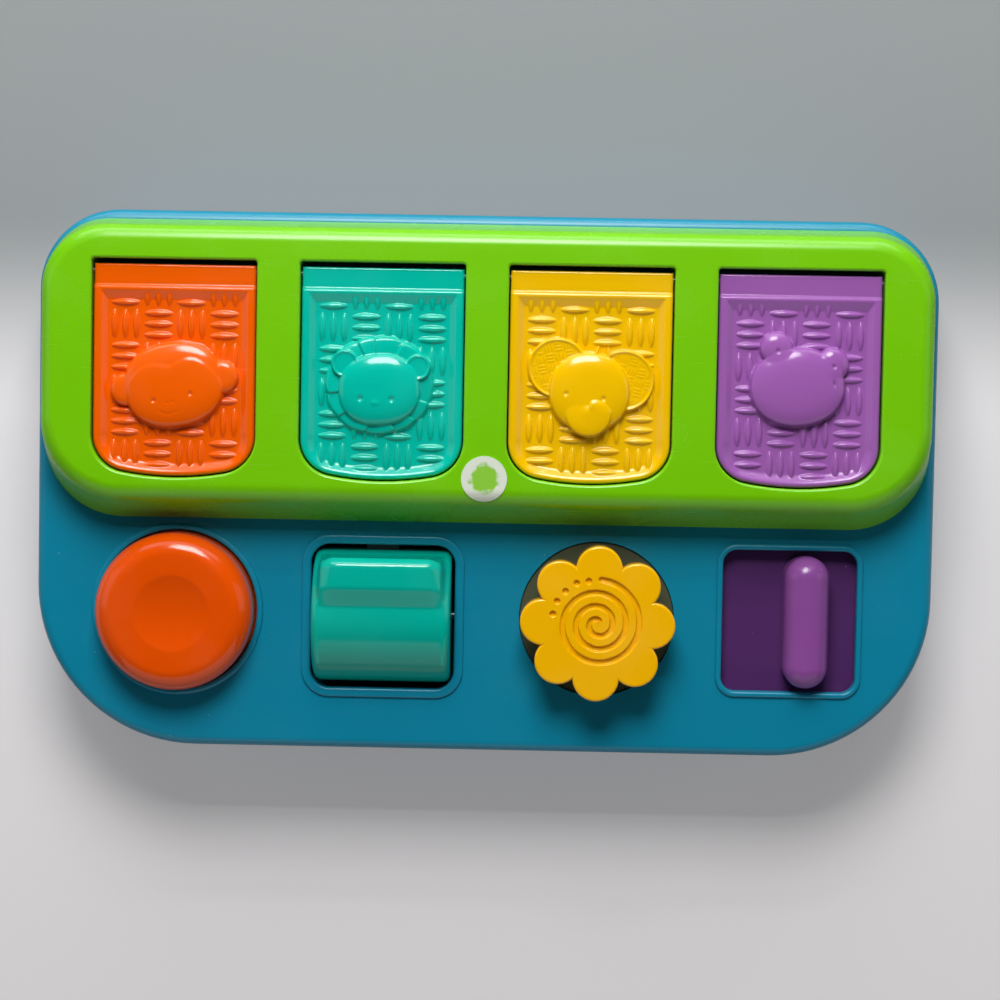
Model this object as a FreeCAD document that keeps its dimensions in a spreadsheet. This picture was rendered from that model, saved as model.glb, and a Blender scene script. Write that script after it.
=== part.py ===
import FreeCAD, Part
import math
import os

import Sketcher
from FreeCAD import Placement, Rotation, Vector

# Pop up animal toy: a shallow case with four sprung lids in a raised frame and, in front of each lid,
# the control that frees it: a push button, a rocker, a flower knob and a slider.
# Frame: +X along the row of lids, +Y towards the lid hinges, +Z up, origin under the middle of the feet.

doc = FreeCAD.newDocument("pop_up_toy")
dims = doc.addObject("Spreadsheet::Sheet", "dims")

DIMENSIONS = [
    # case
    ("base_z", 1.6), ("deck_z", 38.0), ("wall", 2.4),
    ("body_half_width", 141.2), ("body_half_depth", 84.7), ("body_draft", 0.95),
    ("body_front_corner", 50.0), ("body_back_corner", 25.0), ("body_edge_round", 3.0), ("rounding_steps", 6),
    ("cover_thickness", 2.0), ("cover_gap", 0.3),
    ("foot_radius", 7.0), ("foot_x", 108.0), ("foot_back_y", 62.0), ("foot_front_y", -56.0),
    ("case_boss_radius", 4.0), ("pilot_radius", 1.2), ("screw_clearance", 1.7),
    ("case_boss_x", 128.0), ("case_boss_back_y", 66.0), ("case_front_boss_x", 62.0),
    ("case_front_boss_y", -75.0), ("bead_height", 1.0), ("bead_round", 0.8),
    ("overlap", 0.1), ("guide_width", 1.5), ("guide_back", 6.0), ("anchor_drop", 1.8),
    ("case_pilot_depth", 12.0), ("guide_tube_radius", 9.0), ("guide_tube_top", 13.5),
    # raised frame
    ("frame_top_z", 56.0), ("frame_wall", 2.0), ("frame_half_width", 138.2), ("frame_side_draft", 2.1),
    ("frame_front_y", -12.0), ("frame_front_draft", 7.25), ("frame_back_y", 80.9), ("frame_back_draft", 3.2),
    ("frame_front_corner", 25.0), ("frame_back_corner", 20.0), ("frame_edge_round", 4.0),
    ("liner_wall", 2.0), ("window_edge_round", 0.9), ("window_corner", 1.0), ("frame_boss_radius", 3.2),
    ("frame_boss_front_y", 12.0), ("frame_boss_back_y", 58.0), ("label_radius", 7.0),
    ("label_thickness", 0.35), ("label_y", 2.6),
    ("frame_screw_depth", 11.0), ("liner_slot_y", 0.2), ("liner_slot_depth", 4.0), ("slot_play", 0.4),
    # lids
    ("lid_pitch", 63.6), ("lid_half_width", 24.7), ("lid_front_y", 1.7), ("lid_back_y", 66.3),
    ("lid_gap", 0.5), ("lid_back_gap", 1.6), ("lid_corner", 11.0), ("lid_front_radius", 85.0),
    ("lid_bottom_z", 50.5), ("lid_rim_z", 54.5), ("lid_recess_z", 53.0), ("lid_strip_z", 53.7),
    ("lid_strip_length", 6.4), ("lid_ridge_length", 4.4), ("lid_rim_width", 2.6),
    ("hinge_y", 64.2), ("hinge_z", 51.3), ("hinge_barrel_radius", 2.2), ("hinge_pin_radius", 1.1),
    ("hinge_clearance", 0.07), ("hinge_pin_half_length", 27.0),
    ("hook_back_y", 6.9), ("hook_face_y", 4.7), ("hook_lip_y", 2.8), ("hook_lip_z", 41.3),
    ("hook_bottom_z", 39.6), ("hook_half_width", 4.0),
    ("figure_y", 34.0), ("figure_half_x", 15.5), ("figure_half_y", 16.0), ("figure_corner", 5.0),
    ("figure_plate", 1.6), ("leaf_foot_y", 54.0), ("leaf_bend_y", 40.0), ("leaf_tip_y", 16.0),
    ("leaf_gap", 0.5), ("leaf_thickness", 0.6), ("leaf_half_width", 2.5), ("leaf_x", 20.5),
    # latches
    ("latch_plate_bottom", 33.0), ("latch_plate_top", 35.2), ("latch_half_width", 6.0),
    ("latch_upstand_back", -1.5), ("latch_upstand_front", -3.4), ("latch_nose_half_width", 3.0),
    ("latch_nose_tip", 4.3), ("latch_nose_bottom", 41.6), ("latch_nose_top", 43.2),
    ("latch_back_y", 2.0), ("latch_drop_back", -9.5), ("latch_drop_front", -11.5),
    ("latch_stroke", 3.0), ("latch_play", 0.5), ("latch_post_y", 0.3), ("latch_post_radius", 1.2),
    ("latch_spring_y", 20.0), ("latch_spring_z", 30.6), ("spring_wire", 0.35),
    ("keeper_front", -9.0), ("keeper_back", -5.0), ("keeper_bottom", 30.4), ("keeper_top", 32.6),
    ("fork_gap", 0.45), ("latch_coil_radius", 2.0), ("spring_lead", 0.8), ("ramp_front_y", -31.0),
    # push button
    ("button_x", -95.9), ("button_y", -40.8), ("button_radius", 24.5), ("button_hole_radius", 25.0),
    ("button_collar_radius", 27.0), ("button_flange_radius", 25.9), ("button_wall", 2.2),
    ("button_shoulder_z", 46.0), ("button_top_z", 52.5), ("button_dish_radius", 11.8),
    ("button_dish_z", 50.4), ("button_stem_radius", 5.0), ("button_stroke", 5.0),
    ("wedge_bottom", 24.0), ("wedge_height", 6.0), ("wedge_back_y", -22.0), ("wedge_width", 2.4),
    ("button_plate_bottom", 14.0), ("button_plate_top", 16.0), ("cam_gap", 0.3),
    ("button_rim_fall", 0.6), ("button_stem_entry", 3.0), ("button_coil_radius", 6.5),
    ("button_spring_wire", 0.6),
    # rocker
    ("rocker_x", -31.4), ("rocker_y", -41.9), ("rocker_axis_z", 31.2), ("rocker_radius", 21.2),
    ("rocker_half_width", 21.5), ("rocker_wall", 2.2), ("rocker_skirt", -8.0),
    ("rocker_bar_back", 19.4), ("rocker_bar_height", 23.6), ("rocker_bar_bevel", 2.2),
    ("rocker_bar_front", 10.2), ("rocker_bar_foot", 4.0), ("rocker_lug_height", 6.4),
    ("rocker_lug_radius", 1.2), ("axle_radius", 1.5), ("axle_clearance", 0.06),
    ("rocker_window_half_x", 22.5), ("rocker_window_half_y", 22.6), ("rocker_window_corner", 6.0),
    ("rocker_bead_width", 3.0), ("rocker_ear_inner", 22.9), ("rocker_ear_outer", 24.9),
    ("rocker_ear_half", 4.5), ("rocker_ear_drop", 4.0), ("rocker_fork_half_width", 5.0), ("fork_tooth", 2.0),
    ("rocker_round", 1.8), ("rocker_notch_top", 5.3), ("rocker_coil_radius", 2.7),
    ("rocker_coil_length", 7.0), ("rocker_coil_x", 9.0), ("rocker_leg", 9.0),
    # flower knob
    ("knob_x", 35.6), ("knob_y", -41.4), ("petal_radius", 7.2), ("petal_ring", 16.9),
    ("petal_count", 8), ("petal_bottom", 46.0), ("petal_top", 54.0), ("petal_round", 2.4),
    ("knob_hole_radius", 24.3), ("knob_disc_radius", 24.0), ("knob_flange_radius", 26.0),
    ("knob_disc_bottom", 34.0), ("knob_flange_top", 35.2), ("knob_disc_top", 37.2),
    ("knob_hub_radius", 9.0), ("knob_shaft_radius", 2.6), ("knob_shaft_end", 27.4),
    ("knob_turn", 35.0), ("crank_radius", 4.91), ("crank_pin_radius", 1.3), ("crank_pin_end", 30.4),
    ("knob_plate_bottom", 30.6), ("knob_plate_top", 32.8), ("bridge_bottom", 27.6), ("bridge_top", 30.0),
    ("bridge_reach", 29.5), ("bridge_half_width", 6.5), ("bridge_angle", 50.0),
    ("small_boss_radius", 3.2), ("small_pilot_radius", 0.9), ("bridge_screw_depth", 5.5),
    ("knob_plate_right", 44.6), ("knob_plate_front", -47.0),
    ("knob_screw_depth", 7.0), ("bridge_screw_hole", 1.2),
    # screw heads
    ("case_head_radius", 3.0), ("case_head_low", 0.4), ("case_screw_length", 11.0),
    ("frame_head_radius", 3.0), ("frame_head_height", 1.6), ("bridge_head_radius", 2.2),
    ("bridge_head_height", 1.6), ("knob_head_radius", 3.6),
    # slider
    ("slide_x", 95.8), ("slide_y", -41.0), ("slide_window_half_x", 20.9), ("slide_window_half_y", 22.2),
    ("slide_window_corner", 4.4), ("slide_bead_width", 1.9), ("grip_x", 100.8), ("grip_half_width", 6.95),
    ("grip_half_length", 20.6), ("grip_top", 47.0), ("grip_round", 6.3), ("slide_stroke", 12.0),
    ("slide_plate_bottom", 30.8), ("slide_plate_top", 33.0), ("slide_plate_left", 73.5),
    ("slide_plate_right", 129.0), ("slide_plate_half_y", 23.6), ("slide_plate_corner", 3.6),
    ("slide_rail_gap", 0.4),
    ("slide_rail_width", 1.8), ("slide_rail_left", 63.0), ("slide_rail_right", 124.0),
    ("slide_keeper_width", 5.5), ("slide_keeper_height", 2.2), ("cam_pin_radius", 1.8),
    ("cam_pin_end", 24.2), ("cam_plate_bottom", 24.5), ("cam_plate_top", 26.7), ("cam_plate_left", 80.0),
    ("cam_plate_right", 106.5), ("cam_plate_front", -46.0),
]

for row, (alias, value) in enumerate(DIMENSIONS, start=1):
    dims.set(f"A{row}", alias)
    dims.set(f"B{row}", str(value))
    dims.setAlias(f"B{row}", alias)
doc.recompute()

LID_NAMES = ["monkey", "lion", "elephant", "hippo"]
sub_parts = []


def number(expression):
    """The present value of an expression over the sheet's cells."""
    return float(dims.evalExpression(str(expression)))


def lid_x(index):
    return f"(dims.lid_pitch * {index - 1.5})"


def keep(label, obj):
    """Marks an object as a sub-part: its label names the file."""
    obj.Label = label
    sub_parts.append(obj)
    return obj


def place(obj, x="0", y="0", z="0"):
    for axis, expression in zip("xyz", (x, y, z)):
        obj.setExpression(f"Placement.Base.{axis}", str(expression))
    return obj


# ---- primitives and booleans ----

def box(name, x, y, z):
    """A box from three (low, high) pairs of expressions."""
    obj = doc.addObject("Part::Box", name)
    place(obj, x[0], y[0], z[0])
    for prop, (low, high) in zip(("Length", "Width", "Height"), (x, y, z)):
        obj.setExpression(prop, f"({high}) - ({low})")
    return obj


def upright(name, x, y, radius, low, high):
    obj = doc.addObject("Part::Cylinder", name)
    obj.setExpression("Radius", str(radius))
    obj.setExpression("Height", f"({high}) - ({low})")
    return place(obj, x, y, low)


def crosswise(name, left, right, y, z, radius):
    """A round bar along X."""
    obj = doc.addObject("Part::Cylinder", name)
    obj.Placement = Placement(Vector(), Rotation(Vector(0, 1, 0), 90))
    obj.setExpression("Radius", str(radius))
    obj.setExpression("Height", f"({right}) - ({left})")
    return place(obj, left, y, z)


def union(name, *pieces):
    obj = doc.addObject("Part::MultiFuse", name)
    obj.Shapes = list(pieces)
    return obj


def minus(name, base, *tools):
    obj = doc.addObject("Part::Cut", name)
    obj.Base = base
    obj.Tool = tools[0] if len(tools) == 1 else union(name + "_tools", *tools)
    return obj


# ---- bodies and sketches ----

def new_body(name):
    return doc.addObject("PartDesign::Body", name)


def new_sketch(body, name, role="XY_Plane", offset="0"):
    plane = next(item for item in body.Origin.OriginFeatures if item.Role == role)
    sketch = body.newObject("Sketcher::SketchObject", name)
    sketch.AttachmentSupport = [(plane, "")]
    sketch.MapMode = "FlatFace"
    sketch.setExpression("AttachmentOffset.Base.z", str(offset))
    return sketch


def constrain(sketch, kind, *items):
    """Adds a constraint; an expression as last item drives it."""
    if not isinstance(items[-1], str):
        sketch.addConstraint(Sketcher.Constraint(kind, *items))
        return
    expression = items[-1]
    index = sketch.addConstraint(Sketcher.Constraint(kind, *items[:-1], number(expression)))
    sketch.setExpression(f"Constraints[{index}]", expression)


def add_line(sketch, start, end):
    return sketch.addGeometry(Part.LineSegment(Vector(*start, 0), Vector(*end, 0)), False)


def add_arc(sketch, centre, radius, start, end):
    circle = Part.Circle(Vector(*centre, 0), Vector(0, 0, 1), radius)
    return sketch.addGeometry(Part.ArcOfCircle(circle, math.radians(start), math.radians(end)), False)


def circle(sketch, x, y, radius):
    centre = Vector(number(x), number(y), 0)
    item = sketch.addGeometry(Part.Circle(centre, Vector(0, 0, 1), number(radius)), False)
    constrain(sketch, "DistanceX", item, 3, str(x))
    constrain(sketch, "DistanceY", item, 3, str(y))
    constrain(sketch, "Radius", item, str(radius))


def polygon(sketch, corners):
    """A closed outline of straight lines through corners given as (x, y) expressions."""
    points = [(number(x), number(y)) for x, y in corners]
    lines = [add_line(sketch, point, points[(i + 1) % len(points)]) for i, point in enumerate(points)]
    for i, line in enumerate(lines):
        constrain(sketch, "Coincident", line, 2, lines[(i + 1) % len(lines)], 1)
        constrain(sketch, "DistanceX", line, 1, f"({corners[i][0]})")
        constrain(sketch, "DistanceY", line, 1, f"({corners[i][1]})")


def rounded_box(sketch, left, right, front, back, front_corner, back_corner):
    """An outline with two corner radii, the front ones and the back ones."""
    x0, x1, y0, y1 = (number(item) for item in (left, right, front, back))
    f, b = number(front_corner), number(back_corner)
    bottom = add_line(sketch, (x0 + f, y0), (x1 - f, y0))
    arc_fr = add_arc(sketch, (x1 - f, y0 + f), f, 270, 360)
    side_r = add_line(sketch, (x1, y0 + f), (x1, y1 - b))
    arc_br = add_arc(sketch, (x1 - b, y1 - b), b, 0, 90)
    top = add_line(sketch, (x1 - b, y1), (x0 + b, y1))
    arc_bl = add_arc(sketch, (x0 + b, y1 - b), b, 90, 180)
    side_l = add_line(sketch, (x0, y1 - b), (x0, y0 + f))
    arc_fl = add_arc(sketch, (x0 + f, y0 + f), f, 180, 270)
    ring = [bottom, arc_fr, side_r, arc_br, top, arc_bl, side_l, arc_fl]
    for item, following in zip(ring, ring[1:] + ring[:1]):
        constrain(sketch, "Tangent", item, 2, following, 1)
    constrain(sketch, "Horizontal", bottom)
    constrain(sketch, "Horizontal", top)
    constrain(sketch, "Vertical", side_r)
    constrain(sketch, "Vertical", side_l)
    for arc, radius in ((arc_fr, front_corner), (arc_fl, front_corner),
                        (arc_br, back_corner), (arc_bl, back_corner)):
        constrain(sketch, "Radius", arc, f"({radius})")
    constrain(sketch, "DistanceX", side_l, 1, f"({left})")
    constrain(sketch, "DistanceX", side_r, 1, f"({right})")
    constrain(sketch, "DistanceY", bottom, 1, f"({front})")
    constrain(sketch, "DistanceY", top, 1, f"({back})")


def lid_outline(sketch, centre_x, grow, back_grow):
    """The lid's shape, square at the hinge and bowed at the front, grown outwards by a gap."""
    half = f"(dims.lid_half_width + {grow})"
    bow = f"(dims.lid_front_radius + {grow})"
    corner = f"(dims.lid_corner + {grow})"
    back = f"(dims.lid_back_y + {back_grow})"
    bow_y = "(dims.lid_front_y + dims.lid_front_radius)"
    cx, hw, radius, r = number(centre_x), number(half), number(bow), number(corner)
    y_back, y_bow = number(back), number(bow_y)
    corner_y = y_bow - math.sqrt((radius - r) ** 2 - (hw - r) ** 2)
    lean = math.degrees(math.atan2(hw - r, y_bow - corner_y))
    front = add_arc(sketch, (cx, y_bow), radius, 270 - lean, 270 + lean)
    arc_r = add_arc(sketch, (cx + hw - r, corner_y), r, 270 + lean, 360)
    side_r = add_line(sketch, (cx + hw, corner_y), (cx + hw, y_back))
    top = add_line(sketch, (cx + hw, y_back), (cx - hw, y_back))
    side_l = add_line(sketch, (cx - hw, y_back), (cx - hw, corner_y))
    arc_l = add_arc(sketch, (cx - hw + r, corner_y), r, 180, 270 - lean)
    for item, following in ((front, arc_r), (arc_r, side_r), (side_l, arc_l), (arc_l, front)):
        constrain(sketch, "Tangent", item, 2, following, 1)
    constrain(sketch, "Coincident", side_r, 2, top, 1)
    constrain(sketch, "Coincident", top, 2, side_l, 1)
    constrain(sketch, "Horizontal", top)
    constrain(sketch, "Vertical", side_r)
    constrain(sketch, "Vertical", side_l)
    constrain(sketch, "Radius", front, bow)
    constrain(sketch, "Radius", arc_r, corner)
    constrain(sketch, "Radius", arc_l, corner)
    constrain(sketch, "DistanceX", front, 3, f"({centre_x})")
    constrain(sketch, "DistanceY", front, 3, bow_y)
    constrain(sketch, "DistanceX", side_r, 1, f"({centre_x} + {half})")
    constrain(sketch, "DistanceX", side_l, 1, f"({centre_x} - {half})")
    constrain(sketch, "DistanceY", top, 1, back)


def pad(body, name, sketch, length, midplane=False, down=False):
    feature = body.newObject("PartDesign::Pad", name)
    feature.Profile = sketch
    feature.setExpression("Length", str(length))
    feature.Midplane = midplane
    feature.Reversed = down
    return feature


def pocket(body, name, sketch, depth, midplane=False, up=False):
    feature = body.newObject("PartDesign::Pocket", name)
    feature.Profile = sketch
    feature.setExpression("Length", str(depth))
    feature.Midplane = midplane
    feature.Reversed = up
    return feature


def loft(body, name, outline, levels, cut=False):
    """A ruled loft through one outline drawn at several levels: (height, inset) pairs of expressions."""
    sketches = []
    for i, (height, inset) in enumerate(levels):
        lines = new_sketch(body, f"{name}_{i}", offset=height)
        outline(lines, height, inset)
        sketches.append(lines)
    kind = "PartDesign::SubtractiveLoft" if cut else "PartDesign::AdditiveLoft"
    feature = body.newObject(kind, name)
    feature.Profile = sketches[0]
    feature.Sections = sketches[1:]
    feature.Ruled = True
    return feature


def rounded_levels(bottom, top, radius):
    """Levels of a block whose top edge is rounded over in even steps."""
    levels = [(bottom, "0")]
    steps = int(number("dims.rounding_steps"))
    for i in range(steps + 1):
        turn = f"(90deg * {i} / dims.rounding_steps)"
        levels.append((f"({top} - {radius} * (1 - sin({turn})))", f"({radius} * (1 - cos({turn})))"))
    return levels


def round_edges(body, name, radius, wanted):
    """Rounds the edges of the body's tip that pass the test."""
    doc.recompute()
    base = body.Tip
    edges = [f"Edge{i}" for i, edge in enumerate(base.Shape.Edges, start=1) if wanted(edge)]
    assert edges, name
    feature = body.newObject("PartDesign::Fillet", name)
    feature.Base = (base, edges)
    feature.setExpression("Radius", str(radius))
    return feature


def flat_at(edge, z):
    bounds = edge.BoundBox
    return abs(bounds.ZMin - z) < 1e-4 and abs(bounds.ZMax - z) < 1e-4


# ---- case ----

CASE_BOSSES = [(f"{side}dims.case_boss_x", y) for side in ("", "-") for y in ("dims.case_boss_back_y", "0")]
CASE_BOSSES += [(f"{side}dims.case_front_boss_x", "dims.case_front_boss_y") for side in ("", "-")]
FRAME_BOSSES = [(f"dims.lid_pitch * {column}", y) for column in (-1, 0, 1)
                for y in ("dims.frame_boss_front_y", "dims.frame_boss_back_y")]
BRIDGE_ENDS = [(f"dims.knob_x {x_sign} dims.bridge_reach * cos(dims.bridge_angle * 1deg)",
                f"dims.knob_y {y_sign} dims.bridge_reach * sin(dims.bridge_angle * 1deg)")
               for x_sign, y_sign in ("+-", "-+")]
FEET = [(f"{side}dims.foot_x", y) for side in ("", "-") for y in ("dims.foot_back_y", "dims.foot_front_y")]


def body_outline(sketch, z, inset):
    """The case's plan at a height: it narrows a little towards the deck."""
    drafted = f"dims.body_draft * (({z}) - dims.base_z) / (dims.deck_z - dims.base_z)"
    half_x = f"(dims.body_half_width - {drafted} - {inset})"
    half_y = f"(dims.body_half_depth - {drafted} - {inset})"
    rounded_box(sketch, f"-{half_x}", half_x, f"-{half_y}", half_y,
                f"dims.body_front_corner - {inset}", f"dims.body_back_corner - {inset}")


def window(sketch, x, y, half_x, half_y, corner, grow="0"):
    half_x, half_y, corner = f"({half_x} + {grow})", f"({half_y} + {grow})", f"{corner} + {grow}"
    rounded_box(sketch, f"{x} - {half_x}", f"{x} + {half_x}", f"{y} - {half_y}", f"{y} + {half_y}",
                corner, corner)


def rocker_window(sketch, grow="0"):
    window(sketch, "dims.rocker_x", "dims.rocker_y", "dims.rocker_window_half_x",
           "dims.rocker_window_half_y", "dims.rocker_window_corner", grow)


def slide_window(sketch, grow="0"):
    window(sketch, "dims.slide_x", "dims.slide_y", "dims.slide_window_half_x",
           "dims.slide_window_half_y", "dims.slide_window_corner", grow)


def rectangle(sketch, left, right, front, back):
    polygon(sketch, [(left, front), (right, front), (right, back), (left, back)])


def guide_ribs(sketch):
    """A rib on each side of every latch."""
    for index in range(4):
        inner = "(dims.latch_half_width + dims.latch_play)"
        outer = f"({inner} + dims.guide_width)"
        for left, right in ((f"- {outer}", f"- {inner}"), (f"+ {inner}", f"+ {outer}")):
            rectangle(sketch, f"{lid_x(index)} {left}", f"{lid_x(index)} {right}",
                      "dims.keeper_front", "dims.guide_back")


def slide_rails(sketch):
    inner = "(dims.slide_plate_half_y + dims.slide_rail_gap)"
    outer = f"({inner} + dims.slide_rail_width)"
    for front, back in ((f"- {outer}", f"- {inner}"), (f"+ {inner}", f"+ {outer}")):
        rectangle(sketch, "dims.slide_rail_left", "dims.slide_rail_right",
                  f"dims.slide_y {front}", f"dims.slide_y {back}")


def rocker_ears(sketch):
    for left, right in (("- dims.rocker_ear_outer", "- dims.rocker_ear_inner"),
                        ("+ dims.rocker_ear_inner", "+ dims.rocker_ear_outer")):
        rectangle(sketch, f"dims.rocker_x {left}", f"dims.rocker_x {right}",
                  "dims.rocker_y - dims.rocker_ear_half", "dims.rocker_y + dims.rocker_ear_half")


def round_spots(places, radius):
    """A drawing of one circle at each place."""
    def draw(sketch):
        for x, y in places:
            circle(sketch, x, y, radius)
    return draw


def latch_slots(sketch):
    reach = "(dims.latch_nose_half_width + dims.latch_play)"
    for index in range(4):
        rectangle(sketch, f"{lid_x(index)} - {reach}", f"{lid_x(index)} + {reach}",
                  "dims.latch_upstand_front - dims.latch_stroke - dims.latch_play",
                  "dims.latch_upstand_back + dims.latch_play")


def upper_housing():
    body = new_body("housing")
    loft(body, "case_block", body_outline,
         rounded_levels("dims.base_z", "dims.deck_z", "dims.body_edge_round"))
    loft(body, "case_hollow", body_outline,
         [("dims.base_z", "dims.wall"), ("(dims.deck_z - dims.wall)", "dims.wall")], cut=True)

    beads = new_sketch(body, "bead_lines", offset="dims.deck_z - dims.overlap")
    circle(beads, "dims.button_x", "dims.button_y", "dims.button_collar_radius")
    rocker_window(beads, "dims.rocker_bead_width")
    slide_window(beads, "dims.slide_bead_width")
    pad(body, "beads", beads, "dims.bead_height + dims.overlap")

    ceiling = "(dims.deck_z - dims.wall + dims.overlap)"
    hanging = [
        ("case_bosses", "dims.base_z + dims.cover_thickness",
         round_spots(CASE_BOSSES, "dims.case_boss_radius")),
        ("bridge_bosses", "dims.bridge_top", round_spots(BRIDGE_ENDS, "dims.small_boss_radius")),
        ("latch_guides", "dims.keeper_top", guide_ribs),
        ("slide_rails", "dims.slide_plate_bottom - dims.slide_rail_gap", slide_rails),
        ("rocker_ears", "dims.rocker_axis_z - dims.rocker_ear_drop", rocker_ears),
        ("spring_anchors", "dims.latch_spring_z - dims.anchor_drop",
         round_spots([(lid_x(i), "dims.latch_spring_y") for i in range(4)], "dims.latch_post_radius")),
    ]
    for name, bottom, draw in hanging:
        lines = new_sketch(body, name + "_lines", offset=ceiling)
        draw(lines)
        pad(body, name, lines, f"{ceiling} - ({bottom})", down=True)

    openings = new_sketch(body, "opening_lines", offset="dims.deck_z + dims.bead_height")
    circle(openings, "dims.button_x", "dims.button_y", "dims.button_hole_radius")
    circle(openings, "dims.knob_x", "dims.knob_y", "dims.knob_hole_radius")
    rocker_window(openings)
    slide_window(openings)
    latch_slots(openings)
    round_spots(FRAME_BOSSES, "dims.screw_clearance")(openings)
    pocket(body, "deck_openings", openings, "dims.bead_height + dims.wall")
    bead_z = number("dims.deck_z + dims.bead_height")
    round_edges(body, "bead_rounding", "dims.bead_round", lambda edge: flat_at(edge, bead_z))

    pilots = new_sketch(body, "pilot_lines", offset="dims.base_z")
    round_spots(CASE_BOSSES, "dims.pilot_radius")(pilots)
    pocket(body, "case_pilots", pilots, "dims.case_pilot_depth", up=True)
    pilots = new_sketch(body, "bridge_pilot_lines", offset="dims.bridge_top")
    round_spots(BRIDGE_ENDS, "dims.small_pilot_radius")(pilots)
    pocket(body, "bridge_pilots", pilots, "dims.bridge_screw_depth", up=True)

    axle = new_sketch(body, "axle_line", "YZ_Plane", "dims.rocker_x")
    circle(axle, "dims.rocker_y", "dims.rocker_axis_z", "dims.axle_radius")
    pocket(body, "axle_holes", axle, "dims.rocker_ear_outer * 2", midplane=True)
    return keep("upper_housing", body)


def bottom_cover():
    body = new_body("cover")
    sheet_lines = new_sketch(body, "cover_lines", offset="dims.base_z")
    body_outline(sheet_lines, "dims.base_z", "(dims.wall + dims.cover_gap)")
    pad(body, "cover_sheet", sheet_lines, "dims.cover_thickness")
    tube = new_sketch(body, "tube_lines", offset="dims.base_z")
    circle(tube, "dims.button_x", "dims.button_y", "dims.guide_tube_radius")
    pad(body, "guide_tube", tube, "dims.guide_tube_top - dims.base_z")
    bore = new_sketch(body, "tube_bore_lines", offset="dims.guide_tube_top")
    circle(bore, "dims.button_x", "dims.button_y", "dims.button_stem_radius + dims.axle_clearance")
    pocket(body, "tube_bore", bore, "dims.guide_tube_top - dims.base_z - dims.cover_thickness")
    holes = new_sketch(body, "screw_holes_lines", offset="dims.base_z")
    round_spots(CASE_BOSSES, "dims.screw_clearance")(holes)
    pocket(body, "screw_holes", holes, "dims.cover_thickness", up=True)
    return keep("bottom_cover", body)


def rubber_feet():
    discs = [upright(f"foot_{i}", x, y, "dims.foot_radius", "0", "dims.base_z")
             for i, (x, y) in enumerate(FEET)]
    return keep("rubber_feet", union("feet", *discs))


def screws(label, places, head_radius, head_low, head_high, shank_radius, shank_top):
    """Screws driven upwards: a round head under a straight shank."""
    pieces = []
    for i, (x, y) in enumerate(places):
        pieces.append(upright(f"{label}_head_{i}", x, y, head_radius, head_low, head_high))
        pieces.append(upright(f"{label}_shank_{i}", x, y, shank_radius, head_high, shank_top))
    return keep(label, union(label + "_set", *pieces))


# ---- raised frame ----

def frame_outline(sketch, z, inset):
    """The frame's plan at a height, which narrows evenly from the deck to its top."""
    rise = f"((({z}) - dims.deck_z) / (dims.frame_top_z - dims.deck_z))"
    half_x = f"(dims.frame_half_width - dims.frame_side_draft * {rise} - {inset})"
    front = f"(dims.frame_front_y + dims.frame_front_draft * {rise} + {inset})"
    back = f"(dims.frame_back_y - dims.frame_back_draft * {rise} - {inset})"
    rounded_box(sketch, f"-{half_x}", half_x, front, back,
                f"dims.frame_front_corner - {inset}", f"dims.frame_back_corner - {inset}")


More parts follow.
